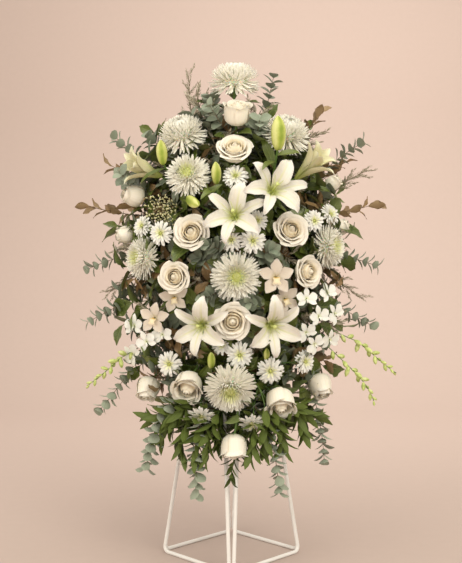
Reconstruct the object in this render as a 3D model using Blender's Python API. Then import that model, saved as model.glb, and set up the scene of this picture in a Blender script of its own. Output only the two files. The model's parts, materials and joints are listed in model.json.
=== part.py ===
"""Standing funeral spray: white blooms and mixed foliage in a block of floral foam, on a stand of bent white rods.

Metres, +Z up, and the spray faces -Y. It is built round the stand's middle line, then moved by CENTRING, so that
the origin is on the floor under the middle of the whole piece.
"""

import math

import bmesh
import bpy
from mathutils import Matrix, Vector
from mathutils.bvhtree import BVHTree

CENTRING = (-0.009, 0.037, 0.0)

# Stand: four trapezoid loops of bent rod, side by side at the four corners of a square that points forwards.
BASE_CORNER = 0.183
STAND_TOP = 0.420
LEG_LEAN = 0.128
ROD_RADIUS = 0.0052
ROD_SIDES = 8
ROD_BEND = 0.014
LOOP_INSET_BOTTOM = 0.0078
LOOP_INSET_TOP = 0.026

# Bowl on the stand's top bars, and the foam that stands in it.
FIT_GAP = 0.0003
BOWL_BASE_RADIUS = 0.100
BOWL_RIM_RADIUS = 0.110
BOWL_HEIGHT = 0.048
BOWL_WALL = 0.003
BOWL_SIDES = 16
FOAM_HALF_WIDTH = 0.066
FOAM_HALF_DEPTH = 0.056
FOAM_TOP = 1.000
STEM_HOLE_GAP = 0.0006

# Bed: the half ellipsoid over which the blooms' centres are spread.
BED_HALF_WIDTH = 0.300
BED_DEPTH = 0.185
BED_HALF_HEIGHT = 0.560
BED_MIDDLE = 0.770

# Stems run towards the foam's middle, drawn in by these shares of the bloom's place on the bed.
ROOT_MIDDLE = 0.740
ROOT_SHARE_X = 0.19
ROOT_SHARE_Z = 0.50
ROOT_DEPTH = -0.015
LOW_BLOOM = 0.420
LOW_STEM_ELBOW = (0.020, -0.136, 0.494)

KEPT_SHARE = 0.86
BLADE_THICKNESS = 0.0016
BLADE_WIDEST = 0.45
CLEARANCE = 0.0008
SEARCH_ROUNDS = 6
SEARCH_STEP = 0.010
LEAF_TRIES = (0, 24, -24, 48, -48, 72)
LEAF_BEND = 0.35
FAN_STEM_SHARE = 1.6
GOLDEN_ANGLE = math.radians(137.508)

# Each plant is one node: the heads on its stem as (kind, x, z, lift off the bed, yaw, pitch, roll, width).
# Yaw turns a head to +X and pitch lifts its face, in degrees, from looking along -Y.
PLANTS = {
    "mum_top": [("mum", 0.008, 1.235, 0.000, 0, 72, 0, 0.124)],
    "mum_upper_left": [("mum", -0.124, 1.092, 0.010, -20, 52, 0, 0.112)],
    "mum_upper_right": [("mum", 0.140, 1.092, 0.010, 20, 50, 10, 0.114)],
    "mum_left_centre": [("mum", -0.108, 0.982, 0.010, -8, 20, 5, 0.114)],
    "mum_left": [("mum", -0.228, 0.776, 0.006, -52, 4, 0, 0.112)],
    "mum_right": [("mum", 0.250, 0.806, 0.004, 55, 4, 8, 0.116)],
    "mum_centre": [("mum", 0.012, 0.728, 0.004, 3, -2, 3, 0.128)],
    "mum_low": [("mum", -0.003, 0.455, 0.052, 0, -25, 0, 0.130)],
    "rose_top": [("rose", 0.014, 1.142, 0.010, 5, 62, 0, 0.074)],
    "rose_upper": [("rose", 0.008, 1.047, 0.010, 0, 38, 20, 0.082)],
    "rose_left": [("rose", -0.099, 0.838, 0.010, -10, 10, 0, 0.083)],
    "rose_right": [("rose", 0.148, 0.845, 0.010, 12, 14, 30, 0.082)],
    "rose_left_low": [("rose", -0.140, 0.728, 0.020, -14, 0, 50, 0.074)],
    "rose_right_low": [("rose", 0.193, 0.741, 0.012, 35, 0, 10, 0.076)],
    "rose_centre": [("rose", 0.003, 0.620, 0.012, 0, -4, 15, 0.086)],
    "rose_low_left": [("rose", -0.108, 0.456, 0.030, -10, -34, 0, 0.080)],
    "rose_low_right": [("rose", 0.121, 0.415, 0.045, 8, -48, 40, 0.080)],
    "rose_bottom": [("rose", 0.006, 0.305, 0.078, 0, -76, 0, 0.076)],
    "rose_closed_left": [("rose_closed", -0.217, 0.435, 0.000, -25, -58, 0, 0.064)],
    "rose_closed_right": [("rose_closed", 0.232, 0.440, 0.010, 25, -55, 0, 0.066)],
    "rose_pair_left": [
        ("rose_closed", -0.258, 0.940, 0.000, -60, 12, 0, 0.060),
        ("rose_closed", -0.282, 0.838, -0.010, -74, -6, 0, 0.050),
    ],
    "rose_pair_right": [
        ("rose_closed", 0.294, 0.862, -0.010, 72, 14, 0, 0.048),
        ("rose_closed", 0.270, 0.978, -0.006, 62, 36, 0, 0.042),
    ],
    "lily_centre": [
        ("lily", 0.006, 0.880, 0.034, -8, 16, -10, 0.160),
        ("lily_bud", -0.038, 0.981, 0.012, -4, 70, 0, 0.054),
        ("lily_bud", -0.094, 0.911, 0.026, 32, -24, 0, 0.056),
    ],
    "lily_upper_right": [("lily", 0.104, 0.943, 0.036, 18, 20, -25, 0.166)],
    "lily_low_left": [
        ("lily", -0.076, 0.610, 0.036, -16, -2, -5, 0.150),
        ("lily_bud", -0.050, 0.524, 0.016, 0, 64, 0, 0.044),
    ],
    "lily_low_right": [
        ("lily", 0.100, 0.609, 0.036, 14, -4, 7, 0.154),
        ("lily_bud", 0.086, 0.538, 0.010, 0, 60, 0, 0.034),
    ],
    "lily_open_left": [
        ("lily_half", -0.220, 0.995, -0.008, -68, 8, 0, 0.092),
        ("lily_bud", -0.172, 1.036, 0.026, -30, 80, 0, 0.060),
    ],
    "lily_open_right": [
        ("lily_half", 0.190, 1.000, 0.020, 52, 34, 0, 0.104),
        ("lily_bud", 0.112, 1.074, 0.066, 0, 82, 0, 0.080),
    ],
    "daisies_upper": [("daisy", 0.010, 0.975, 0.000, 0, 24, 0, 0.060)],
    "daisies_centre": [
        ("daisy", 0.000, 0.818, 0.004, -6, 0, 0, 0.055),
        ("daisy", 0.052, 0.816, 0.010, 4, 0, 10, 0.060),
        ("daisy", 0.064, 0.866, -0.004, 14, 12, 5, 0.050),
    ],
    "daisies_left": [
        ("daisy", -0.224, 0.856, 0.000, -36, 14, 0, 0.052),
        ("daisy", -0.174, 0.836, 0.006, -20, 0, 8, 0.058),
    ],
    "daisies_right": [
        ("daisy", 0.206, 0.868, 0.006, 22, 4, 0, 0.052),
        ("daisy", 0.252, 0.888, 0.000, 40, 20, 6, 0.054),
    ],
    "daisies_low_centre": [
        ("daisy", -0.024, 0.560, -0.004, -4, 6, 0, 0.046),
        ("daisy", 0.020, 0.537, 0.010, 4, -4, 10, 0.062),
    ],
    "daisies_low_right": [
        ("daisy", 0.096, 0.497, 0.012, 4, -12, 0, 0.064),
        ("daisy", 0.184, 0.516, 0.006, 36, 4, 9, 0.056),
        ("daisy", 0.050, 0.372, 0.056, 0, -62, 4, 0.064),
    ],
    "daisies_low_left": [
        ("daisy", -0.154, 0.512, 0.006, -16, -6, 0, 0.060),
        ("daisy", -0.074, 0.390, 0.054, -4, -60, 7, 0.062),
    ],
    "cymbidium_right": [
        ("cymbidium", 0.109, 0.728, 0.006, 6, 4, 0, 0.088),
        ("cymbidium", 0.133, 0.674, -0.010, 14, -8, 20, 0.074),
    ],
    "cymbidium_left": [
        ("cymbidium", -0.192, 0.626, 0.010, -22, 0, -8, 0.078),
        ("cymbidium", -0.142, 0.678, -0.012, -10, -10, 10, 0.074),
    ],
    "dendrobium_right": [
        ("dendrobium", 0.186, 0.674, 0.010, 20, 10, 0, 0.046),
        ("dendrobium", 0.242, 0.688, 0.010, 34, 16, 20, 0.046),
        ("dendrobium", 0.264, 0.634, 0.014, 40, 4, 40, 0.048),
        ("dendrobium", 0.218, 0.630, 0.022, 26, 0, 15, 0.046),
        ("dendrobium", 0.186, 0.590, 0.012, 18, -8, 30, 0.044),
        ("dendrobium", 0.250, 0.568, 0.016, 36, -14, 5, 0.046),
        ("dendrobium", 0.208, 0.560, 0.020, 24, -10, 50, 0.044),
    ],
    "dendrobium_left": [
        ("dendrobium", -0.246, 0.604, 0.010, -36, 6, 0, 0.050),
        ("dendrobium", -0.212, 0.566, 0.016, -24, -6, 25, 0.048),
        ("dendrobium", -0.252, 0.530, 0.012, -36, -14, 50, 0.050),
        ("dendrobium", -0.172, 0.584, 0.002, -14, -6, 10, 0.044),
    ],
}

# Orchid tips: the drooping end of a spike, as its path away from the plant's fork and its number of buds.
BUD_SPIKES = {
    "dendrobium_right": [
        ([(0.330, -0.055, 0.560), (0.400, -0.050, 0.500), (0.428, -0.050, 0.480)], 5),
        ([(0.300, -0.085, 0.500), (0.345, -0.080, 0.450), (0.366, -0.080, 0.404)], 4),
    ],
    "dendrobium_left": [
        ([(-0.285, -0.070, 0.520), (-0.330, -0.070, 0.480), (-0.372, -0.066, 0.448)], 4),
    ],
}

# Foliage: each node is a branch with its root in the foam, forking at its hub into stems. A stem is its way
# point and its tip.
FOLIAGE = {
    "eucalyptus_left": ("eucalyptus", (-0.030, 0.010, 0.800), (-0.090, 0.008, 0.806), [
        ((-0.200, 0.004, 0.985), (-0.302, -0.010, 1.094)),
        ((-0.225, 0.002, 0.800), (-0.374, -0.012, 0.752)),
        ((-0.215, 0.002, 0.705), (-0.376, -0.014, 0.612)),
        ((-0.210, 0.000, 0.570), (-0.342, -0.020, 0.384)),
        ((-0.210, -0.010, 0.925), (-0.276, -0.120, 0.985)),
    ]),
    "eucalyptus_right": ("eucalyptus", (0.030, 0.010, 0.800), (0.090, 0.008, 0.806), [
        ((0.210, 0.004, 0.975), (0.344, -0.010, 1.082)),
        ((0.230, 0.002, 0.800), (0.384, -0.012, 0.758)),
        ((0.215, 0.002, 0.700), (0.364, -0.016, 0.604)),
        ((0.200, -0.020, 0.480), (0.238, -0.075, 0.262)),
    ]),
    "eucalyptus_hanging": ("eucalyptus", (-0.024, -0.026, 0.490), (-0.034, -0.120, 0.492), [
        ((-0.150, -0.140, 0.410), (-0.214, -0.110, 0.250)),
        ((-0.080, -0.170, 0.370), (-0.084, -0.150, 0.154)),
        ((0.075, -0.150, 0.380), (0.118, -0.150, 0.158)),
    ]),
    "eucalyptus_top": ("eucalyptus", (0.034, -0.004, 0.970), (0.046, -0.004, 1.030), [
        ((0.080, -0.010, 1.130), (0.110, -0.030, 1.250)),
        ((0.000, -0.080, 1.080), (-0.052, -0.150, 1.150)),
        ((0.060, -0.080, 1.070), (0.070, -0.150, 1.118)),
    ]),
    "eucalyptus_front": ("eucalyptus", (0.020, -0.024, 0.745), (0.034, -0.090, 0.742), [
        ((0.000, -0.140, 0.780), (-0.054, -0.190, 0.805)),
        ((0.070, -0.140, 0.775), (0.096, -0.188, 0.792)),
        ((0.050, -0.140, 0.690), (0.044, -0.192, 0.666)),
        ((-0.020, -0.140, 0.700), (-0.064, -0.186, 0.676)),
    ]),
    "bronze_left": ("bronze", (-0.036, 0.030, 0.880), (-0.090, 0.026, 0.890), [
        ((-0.220, 0.020, 0.890), (-0.378, 0.004, 0.916)),
        ((-0.190, 0.020, 0.955), (-0.318, 0.004, 1.024)),
    ]),
    "bronze_right": ("bronze", (0.036, 0.030, 0.880), (0.090, 0.026, 0.890), [
        ((0.220, 0.020, 0.890), (0.382, 0.004, 0.922)),
        ((0.150, 0.020, 1.030), (0.236, 0.004, 1.166)),
        ((0.190, 0.020, 0.950), (0.296, 0.004, 1.030)),
    ]),
    "wisp_left": ("wisp", (-0.036, 0.036, 0.850), (-0.084, 0.036, 0.852), [
        ((-0.100, 0.030, 1.060), (-0.114, 0.000, 1.262)),
        ((-0.190, 0.034, 0.780), (-0.324, 0.010, 0.688)),
    ]),
    "wisp_right": ("wisp", (0.036, 0.036, 0.850), (0.084, 0.036, 0.852), [
        ((0.190, 0.030, 0.920), (0.356, 0.010, 1.010)),
        ((0.190, 0.034, 0.780), (0.338, 0.010, 0.680)),
    ]),
    "salal_top": ("salal", (-0.010, 0.030, 0.965), (-0.012, 0.026, 1.020), [
        ((-0.090, 0.020, 1.070), (-0.205, -0.010, 1.110)),
        ((-0.040, 0.010, 1.110), (-0.060, -0.040, 1.205)),
        ((0.050, 0.020, 1.100), (0.100, -0.010, 1.175)),
        ((0.080, 0.030, 1.070), (0.190, 0.010, 1.120)),
    ]),
    "salal_left": ("salal", (-0.036, 0.040, 0.720), (-0.090, 0.040, 0.722), [
        ((-0.170, 0.040, 0.860), (-0.270, 0.010, 0.960)),
        ((-0.190, 0.040, 0.790), (-0.300, 0.010, 0.860)),
        ((-0.190, 0.040, 0.660), (-0.290, 0.000, 0.600)),
        ((-0.160, 0.030, 0.580), (-0.262, -0.020, 0.480)),
    ]),
    "salal_right": ("salal", (0.036, 0.040, 0.720), (0.090, 0.040, 0.722), [
        ((0.170, 0.040, 0.850), (0.280, 0.010, 0.950)),
        ((0.190, 0.040, 0.780), (0.300, 0.010, 0.830)),
        ((0.190, 0.040, 0.660), (0.290, 0.000, 0.600)),
        ((0.160, 0.030, 0.580), (0.262, -0.020, 0.480)),
    ]),
    "ruscus_bottom": ("ruscus", (0.024, -0.026, 0.490), (0.040, -0.120, 0.492), [
        ((-0.080, -0.150, 0.440), (-0.170, -0.130, 0.330)),
        ((-0.030, -0.176, 0.400), (-0.060, -0.180, 0.300)),
        ((0.030, -0.176, 0.380), (-0.002, -0.215, 0.215)),
        ((0.080, -0.168, 0.420), (0.080, -0.170, 0.315)),
        ((0.130, -0.130, 0.440), (0.180, -0.130, 0.345)),
    ]),
    "salal_back_upper": ("salal", (0.000, 0.030, 0.860), (0.000, 0.090, 0.862), [
        ((-0.100, 0.100, 0.910), (-0.200, 0.080, 0.960)),
        ((-0.070, 0.110, 0.980), (-0.120, 0.080, 1.080)),
        ((0.000, 0.110, 0.990), (0.010, 0.070, 1.120)),
        ((0.070, 0.110, 0.960), (0.130, 0.080, 1.070)),
        ((0.100, 0.100, 0.900), (0.210, 0.080, 0.940)),
    ]),
    "salal_back_lower": ("salal", (0.000, 0.030, 0.620), (0.000, 0.090, 0.620), [
        ((-0.100, 0.100, 0.680), (-0.210, 0.080, 0.700)),
        ((0.100, 0.100, 0.680), (0.210, 0.080, 0.700)),
        ((-0.100, 0.100, 0.600), (-0.190, 0.080, 0.560)),
        ((0.100, 0.100, 0.600), (0.190, 0.080, 0.560)),
        ((-0.060, 0.120, 0.540), (-0.110, 0.130, 0.440)),
        ((0.060, 0.120, 0.540), (0.110, 0.130, 0.440)),
    ]),
}

# A foliage kind: stem radius, where its leaves start, their spacing, length, width, spread from the stem, and pairs.
LEAF_KINDS = {
    "eucalyptus": (0.0014, 0.35, 0.100, 0.037, 0.029, 74, True),
    "bronze": (0.0014, 0.40, 0.070, 0.060, 0.026, 48, False),
    "wisp": (0.0013, 0.50, 0.045, 0.032, 0.008, 38, False),
    "salal": (0.0016, 0.20, 0.095, 0.094, 0.058, 46, False),
    "ruscus": (0.0015, 0.30, 0.065, 0.072, 0.028, 34, False),
}

# Leaves on a bloom's own stem: how many, their length and width, how far behind the head, and their spread.
STEM_LEAVES = {
    "rose": (2, 0.080, 0.048, 0.014, 64),
    "rose_closed": (2, 0.066, 0.038, 0.010, 52),
    "mum": (2, 0.084, 0.046, 0.016, 66),
    "lily": (2, 0.096, 0.040, 0.014, 62),
}

STEM_RADIUS = {
    "mum": 0.0030, "rose": 0.0028, "rose_closed": 0.0026, "lily": 0.0030, "lily_half": 0.0030,
    "daisy": 0.0018, "cymbidium": 0.0022, "dendrobium": 0.0016,
}
BRANCH_SHARE = 0.75

COLOURS = {
    "rod": ((0.86, 0.85, 0.83), 0.40),
    "bowl": ((0.05, 0.09, 0.05), 0.50),
    "foam": ((0.07, 0.20, 0.10), 0.95),
    "mum": ((0.90, 0.90, 0.84), 0.60),
    "rose": ((0.90, 0.84, 0.73), 0.60),
    "lily": ((0.92, 0.92, 0.84), 0.50),
    "daisies": ((0.92, 0.92, 0.90), 0.60),
    "cymbidium": ((0.84, 0.78, 0.72), 0.50),
    "dendrobium": ((0.92, 0.93, 0.88), 0.50),
    "eucalyptus": ((0.25, 0.34, 0.30), 0.70),
    "bronze": ((0.32, 0.18, 0.08), 0.60),
    "wisp": ((0.36, 0.32, 0.26), 0.80),
    "salal": ((0.06, 0.14, 0.03), 0.40),
    "ruscus": ((0.07, 0.17, 0.03), 0.40),
}


def moved(shape, matrix):
    """A shape's points under a matrix. A shape is (points, faces)."""
    points, faces = shape
    return [matrix @ point for point in points], faces


def basis(place, across, along, normal):
    """The matrix whose X, Y and Z axes are these three directions."""
    matrix = Matrix((across, along, normal)).transposed().to_4x4()
    matrix.translation = place
    return matrix


def facing(place, yaw, pitch, roll):
    """A head's frame: +Z is the way it faces, and +Y is up before it rolls."""
    yaw, pitch = math.radians(yaw), math.radians(pitch)
    across = Vector((math.cos(yaw), math.sin(yaw), 0))
    out = Vector((math.sin(yaw) * math.cos(pitch), -math.cos(yaw) * math.cos(pitch), math.sin(pitch)))
    return basis(place, across, out.cross(across), out) @ Matrix.Rotation(math.radians(roll), 4, "Z")


def on_bed(x, z, lift):
    """The point of the bed seen at x and z, raised towards the front by lift."""
    share = 1 - (x / BED_HALF_WIDTH) ** 2 - ((z - BED_MIDDLE) / BED_HALF_HEIGHT) ** 2
    return Vector((x, -BED_DEPTH * math.sqrt(max(share, 0)) - lift, z))


def smooth_path(points, steps):
    """A quadratic curve that starts at the first point, passes near the middle one and ends at the last."""
    start, middle, end = (Vector(point) for point in points)
    control = 2 * middle - (start + end) / 2
    curve = []
    for step in range(steps + 1):
        t = step / steps
        curve.append((1 - t) ** 2 * start + 2 * t * (1 - t) * control + t * t * end)
    return curve


def sideways(direction):
    """A unit vector square to a direction."""
    helper = Vector((0, 0, 1)) if abs(direction.z) < 0.9 * direction.length else Vector((1, 0, 0))
    return direction.cross(helper).normalized()


def tube(path, radii, sides=5):
    """A closed round bar along a path, with a radius for each point."""
    points, faces = [], []
    side = sideways(path[1] - path[0])
    for index, centre in enumerate(path):
        before, after = path[max(index - 1, 0)], path[min(index + 1, len(path) - 1)]
        tangent = (after - before).normalized()
        side = (side - tangent * side.dot(tangent)).normalized()
        other = tangent.cross(side)
        for k in range(sides):
            turn = 2 * math.pi * k / sides
            points.append(centre + radii[index] * (math.cos(turn) * side + math.sin(turn) * other))
    for ring in range(len(path) - 1):
        for k in range(sides):
            a, b = ring * sides + k, ring * sides + (k + 1) % sides
            faces.append((a, b, b + sides, a + sides))
    last = (len(path) - 1) * sides
    faces.append(tuple(range(sides - 1, -1, -1)))
    faces.append(tuple(range(last, last + sides)))
    return points, faces


def rings_shape(rings, foot, crown):
    """A closed surface through rings of equal count, closed at a foot point and a crown point."""
    sides = len(rings[0])
    points = [point for ring in rings for point in ring] + [foot, crown]
    faces = []
    for level in range(len(rings) - 1):
        for k in range(sides):
            a, b = level * sides + k, level * sides + (k + 1) % sides
            faces.append((a, b, b + sides, a + sides))
    last = (len(rings) - 1) * sides
    for k in range(sides):
        faces.append(((k + 1) % sides, k, len(points) - 2))
        faces.append((last + k, last + (k + 1) % sides, len(points) - 1))
    return points, faces


def blade(length, width, bend=0.0, grow=0.0):
    """A leaf along +Y with its face to +Z, bending towards +Z: flat above, a keel below, pointed at both ends."""
    length, width, thick = length + 2 * grow, width + 2 * grow, BLADE_THICKNESS + 2 * grow
    middle = Vector((0, -grow + BLADE_WIDEST * length, grow))
    turned = Vector((0, math.cos(bend), math.sin(bend)))
    points = [
        Vector((0, -grow, -thick / 3)),
        middle + Vector((width / 2, 0, 0)),
        middle - Vector((width / 2, 0, 0)),
        middle - Vector((0, 0, thick)),
        middle + turned * (1 - BLADE_WIDEST) * length - Vector((0, 0, thick / 2)),
    ]
    return points, [(1, 2, 0), (2, 3, 0), (3, 1, 0), (2, 1, 4), (3, 2, 4), (1, 3, 4)]


def raised_petal(points, faces, cell, out, reach, height, width, middle):
    """Raises one cell of a dome into a petal: a wedge, or past a middle section a blade with a pointed tip."""
    a, b, c, d = cell
    across = Vector((-out.y, out.x, 0))
    tip = out * reach + Vector((0, 0, height))
    if middle is None:
        left = len(points)
        points += [tip - across * width / 2, tip + across * width / 2]
        faces += [(a, b, left + 1, left), (b, c, left + 1), (c, d, left, left + 1), (d, a, left)]
        return
    mid_reach, mid_height, thick = middle
    centre = out * mid_reach + Vector((0, 0, mid_height))
    back_side = across.cross(tip - centre).normalized() * thick / 2
    first = len(points)
    half = across * width / 2
    points += [centre - half + back_side, centre + half + back_side, centre + half - back_side,
               centre - half - back_side, tip]
    section = [first, first + 1, first + 2, first + 3]
    for k in range(4):
        here, after = section[k], section[(k + 1) % 4]
        faces.append((cell[k], cell[(k + 1) % 4], after, here))
        faces.append((here, after, first + 4))


def petal_dome(count, core, petals, back, eye, middle=None):
    """A dome whose surface rises into rows of petals.

    core holds the rings between the rows as (radius, height), back first. petals holds a row each, as (reach,
    height of the tip, width, lengthening of every other petal).
    """
    step = 2 * math.pi / count
    points, faces = [], []
    for level, (radius, height) in enumerate(core):
        for k in range(count):
            turn = k * step + level * step / 2
            points.append(Vector((radius * math.cos(turn), radius * math.sin(turn), height)))
    for row, (reach, height, width, longer) in enumerate(petals):
        for k in range(count):
            a, b = row * count + k, row * count + (k + 1) % count
            turn = (k + 0.75) * step + row * step / 2
            out = Vector((math.cos(turn), math.sin(turn), 0))
            stretch = 1 + longer * (1 if k % 2 else -1)
            cell = (a, b, b + count, a + count)
            raised_petal(points, faces, cell, out, reach * stretch, height * stretch, width, middle)
    points += [Vector((0, 0, back)), Vector((0, 0, eye))]
    top = (len(core) - 1) * count
    for k in range(count):
        faces.append(((k + 1) % count, k, len(points) - 2))
        faces.append((top + k, top + (k + 1) % count, len(points) - 1))
    return points, faces


def mum_head(width):
    """Chrysanthemum: four rows of petals round a dome, the outer ones swept back. Returns shapes and back depth."""
    r = width / 2
    core = [(0.24, -0.44), (0.46, -0.26), (0.50, 0.02), (0.34, 0.26), (0.14, 0.36)]
    petals = [(0.92, -0.36, 0.18, 0.03), (1.00, 0.02, 0.18, 0.03), (0.80, 0.40, 0.15, 0.04),
              (0.42, 0.60, 0.11, 0.04)]
    shape = petal_dome(
        10,
        [(r * radius, r * height) for radius, height in core],
        [(r * reach, r * height, r * tip, longer) for reach, height, tip, longer in petals],
        -0.48 * r,
        0.32 * r,
    )
    return [shape], 0.44 * r


def daisy_head(width):
    """Spray chrysanthemum: one row of flat ray petals round a raised eye."""
    r = width / 2
    core = [(0.26 * r, -0.14 * r), (0.30 * r, 0.06 * r)]
    shape = petal_dome(10, core, [(r, 0.06 * r, 0.22 * r, 0.02)], -0.20 * r, 0.18 * r)
    return [shape], 0.18 * r


ROSE_RINGS = (
    (0.16, -0.86, 0.00), (0.78, -0.52, 0.04), (1.00, 0.12, 0.07), (0.80, 0.06, -0.04), (0.66, 0.36, 0.09),
    (0.36, 0.20, -0.04),
)
CLOSED_ROSE_RINGS = (
    (0.16, -1.10, 0.00), (0.80, -0.80, 0.03), (1.00, -0.10, 0.05), (0.66, 0.78, 0.10), (0.34, 0.66, 0.04),
)
LOBES = 5


def lobed_rose(rings, width, crown):
    """A rose raised from one turned surface: ridges are rows of petal rims, each row's five lobes between the last."""
    r = width / 2
    sides = 2 * LOBES
    levels = []
    for level, (radius, height, lobe) in enumerate(rings):
        shift = level // 2 % 2
        levels.append([
            Vector((
                r * radius * (1 + lobe * (-1) ** (k + shift)) * math.cos(math.pi * k / LOBES),
                r * radius * (1 + lobe * (-1) ** (k + shift)) * math.sin(math.pi * k / LOBES),
                r * height + r * 0.8 * abs(lobe) * (-1) ** (k + shift),
            ))
            for k in range(sides)
        ])
    return rings_shape(levels, Vector((0, 0, r * (rings[0][1] - 0.06))), Vector((0, 0, r * crown)))


def rose_head(width):
    """Open rose."""
    return [lobed_rose(ROSE_RINGS, width, 0.40)], 0.43 * width


def closed_rose_head(width):
    """Rose still in bud, taller than wide."""
    return [lobed_rose(CLOSED_ROSE_RINGS, width, 0.78)], 0.55 * width


def lily_head(width):
    """Lily: six tepals that spread out of a short trumpet and turn back at their tips."""
    r = width / 2
    core = [(0.10 * r, -0.42 * r), (0.20 * r, -0.20 * r)]
    shape = petal_dome(6, core, [(r, -0.02 * r, 0.42 * r, 0.03)], -0.46 * r, -0.30 * r, (0.56 * r, 0.16 * r, 0.0030))
    return [shape], 0.40 * r


def half_lily_head(length):
    """Lily just opening: its tepals still stand up round the axis."""
    core = [(0.06 * length, -0.42 * length), (0.11 * length, -0.26 * length)]
    petals = [(0.40 * length, 0.50 * length, 0.18 * length, 0.04)]
    shape = petal_dome(6, core, petals, -0.48 * length, -0.34 * length, (0.24 * length, 0.12 * length, 0.0026))
    return [shape], 0.42 * length


def spindle(length, girth, sides):
    """A bud along +Z, from -length/2 to length/2."""
    profile = ((-0.26, 0.80), (0.10, 1.00), (0.38, 0.55)) if sides > 4 else ((-0.14, 0.96), (0.24, 0.84))
    rings = [
        [Vector((girth / 2 * share * math.cos(2 * math.pi * k / sides),
                 girth / 2 * share * math.sin(2 * math.pi * k / sides), length * height)) for k in range(sides)]
        for height, share in profile
    ]
    return rings_shape(rings, Vector((0, 0, -length / 2)), Vector((0, 0, length / 2)))


def lily_bud_head(length):
    """Closed lily bud."""
    return [spindle(length, 0.38 * length, 6)], 0.46 * length


def cymbidium_head(width):
    """Cymbidium orchid: five thick tepals round a column."""
    r = width / 2
    core = [(0.20 * r, -0.14 * r), (0.24 * r, 0.08 * r)]
    shape = petal_dome(5, core, [(r, 0.10 * r, 0.58 * r, 0.0)], -0.24 * r, 0.20 * r, (0.58 * r, 0.10 * r, 0.0030))
    return [shape], 0.20 * r


def dendrobium_head(width):
    """Dendrobium orchid: five pointed tepals round a small spurred middle."""
    r = width / 2
    core = [(0.20 * r, -0.14 * r), (0.26 * r, 0.06 * r)]
    shape = petal_dome(5, core, [(r, 0.12 * r, 0.52 * r, 0.02)], -0.40 * r, 0.16 * r)
    return [shape], 0.30 * r


HEADS = {
    "mum": mum_head, "daisy": daisy_head, "rose": rose_head, "rose_closed": closed_rose_head, "lily": lily_head,
    "lily_half": half_lily_head, "lily_bud": lily_bud_head, "cymbidium": cymbidium_head,
    "dendrobium": dendrobium_head,
}


def outward_volume(shape):
    """Six times the signed volume of a closed shape."""
    points, faces = shape
    total = 0.0
    for face in faces:
        for k in range(1, len(face) - 1):
            a, b, c = points[face[0]], points[face[k]], points[face[k + 1]]
            total += a.dot(b.cross(c))
    return total


def mesh_of(name, shape):
    """A mesh object from a shape, its faces pointing out."""
    points, faces = shape
    if outward_volume(shape) < 0:
        faces = [tuple(reversed(face)) for face in faces]
    mesh = bpy.data.meshes.new(name)
    mesh.from_pydata([tuple(point) for point in points], [], faces)
    tidy = bmesh.new()
    tidy.from_mesh(mesh)
    bmesh.ops.triangulate(tidy, faces=tidy.faces)
    tidy.to_mesh(mesh)
    tidy.free()
    return bpy.data.objects.new(name, mesh)


def boolean(base, shapes, operation):
    """Joins shapes to an object, or cuts them from it, in one step, and leaves plain triangles."""
    helpers = bpy.data.collections.new(base.name + "_parts")
    for index, shape in enumerate(shapes):
        helpers.objects.link(mesh_of(f"{base.name}_{index}", shape))
    modifier = base.modifiers.new("join", "BOOLEAN")
    modifier.operation = operation
    modifier.operand_type = "COLLECTION"
    modifier.collection = helpers
    modifier.solver = "MANIFOLD"
    evaluated = base.evaluated_get(bpy.context.evaluated_depsgraph_get())
    result = bpy.data.meshes.new_from_object(evaluated)
    base.modifiers.clear()
    base.data = result
    keep_main_body(result)
    for helper in list(helpers.objects):
        bpy.data.objects.remove(helper)
    bpy.data.collections.remove(helpers)


def keep_main_body(mesh):
    """Drops scraps and fills sealed hollows: only the surface round the largest volume stays."""
    work = bmesh.new()
    work.from_mesh(mesh)
    bmesh.ops.triangulate(work, faces=work.faces)
    waiting = set(work.faces)
    bodies = []
    while waiting:
        body, edge_of_body = set(), [waiting.pop()]
        while edge_of_body:
            face = edge_of_body.pop()
            body.add(face)
            near = {other for edge in face.edges for other in edge.link_faces} & waiting
            waiting -= near
            edge_of_body += near
        volume = sum(face.verts[0].co.dot(face.verts[1].co.cross(face.verts[2].co)) for face in body)
        bodies.append((volume, body))
    bodies.sort(key=lambda found: found[0])
    for _, body in bodies[:-1]:
        bmesh.ops.delete(work, geom=list(body), context="FACES")
    work.to_mesh(mesh)
    work.free()


def material(kind):
    """The plain finish of one kind of piece."""
    if kind not in materials:
        colour, roughness = COLOURS[kind]
        made = bpy.data.materials.new(kind)
        made.use_nodes = True
        shader = made.node_tree.nodes["Principled BSDF"]
        shader.inputs["Base Color"].default_value = (*colour, 1)
        shader.inputs["Roughness"].default_value = roughness
        shader.inputs["Metallic"].default_value = 0.0
        materials[kind] = made
    return materials[kind]


def node(name, kind, shapes, cut=()):
    """One object of the part: its shapes joined, less what is cut from it."""
    made = mesh_of(name, shapes[0])
    bpy.context.scene.collection.objects.link(made)
    if len(shapes) > 1:
        boolean(made, shapes[1:], "UNION")
    if cut:
        boolean(made, cut, "DIFFERENCE")
    if kind not in ("rod", "bowl", "foam", "mum", "rose"):
        drop_slivers(made)
    made.data.materials.clear()
    made.data.materials.append(material(kind))
    return made


def drop_slivers(plant):
    """Collapses the smallest triangles, which the joins of stems and leaves leave behind."""
    modifier = plant.modifiers.new("slivers", "DECIMATE")
    modifier.ratio = KEPT_SHARE
    plant.data = bpy.data.meshes.new_from_object(plant.evaluated_get(bpy.context.evaluated_depsgraph_get()))
    plant.modifiers.clear()


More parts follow.
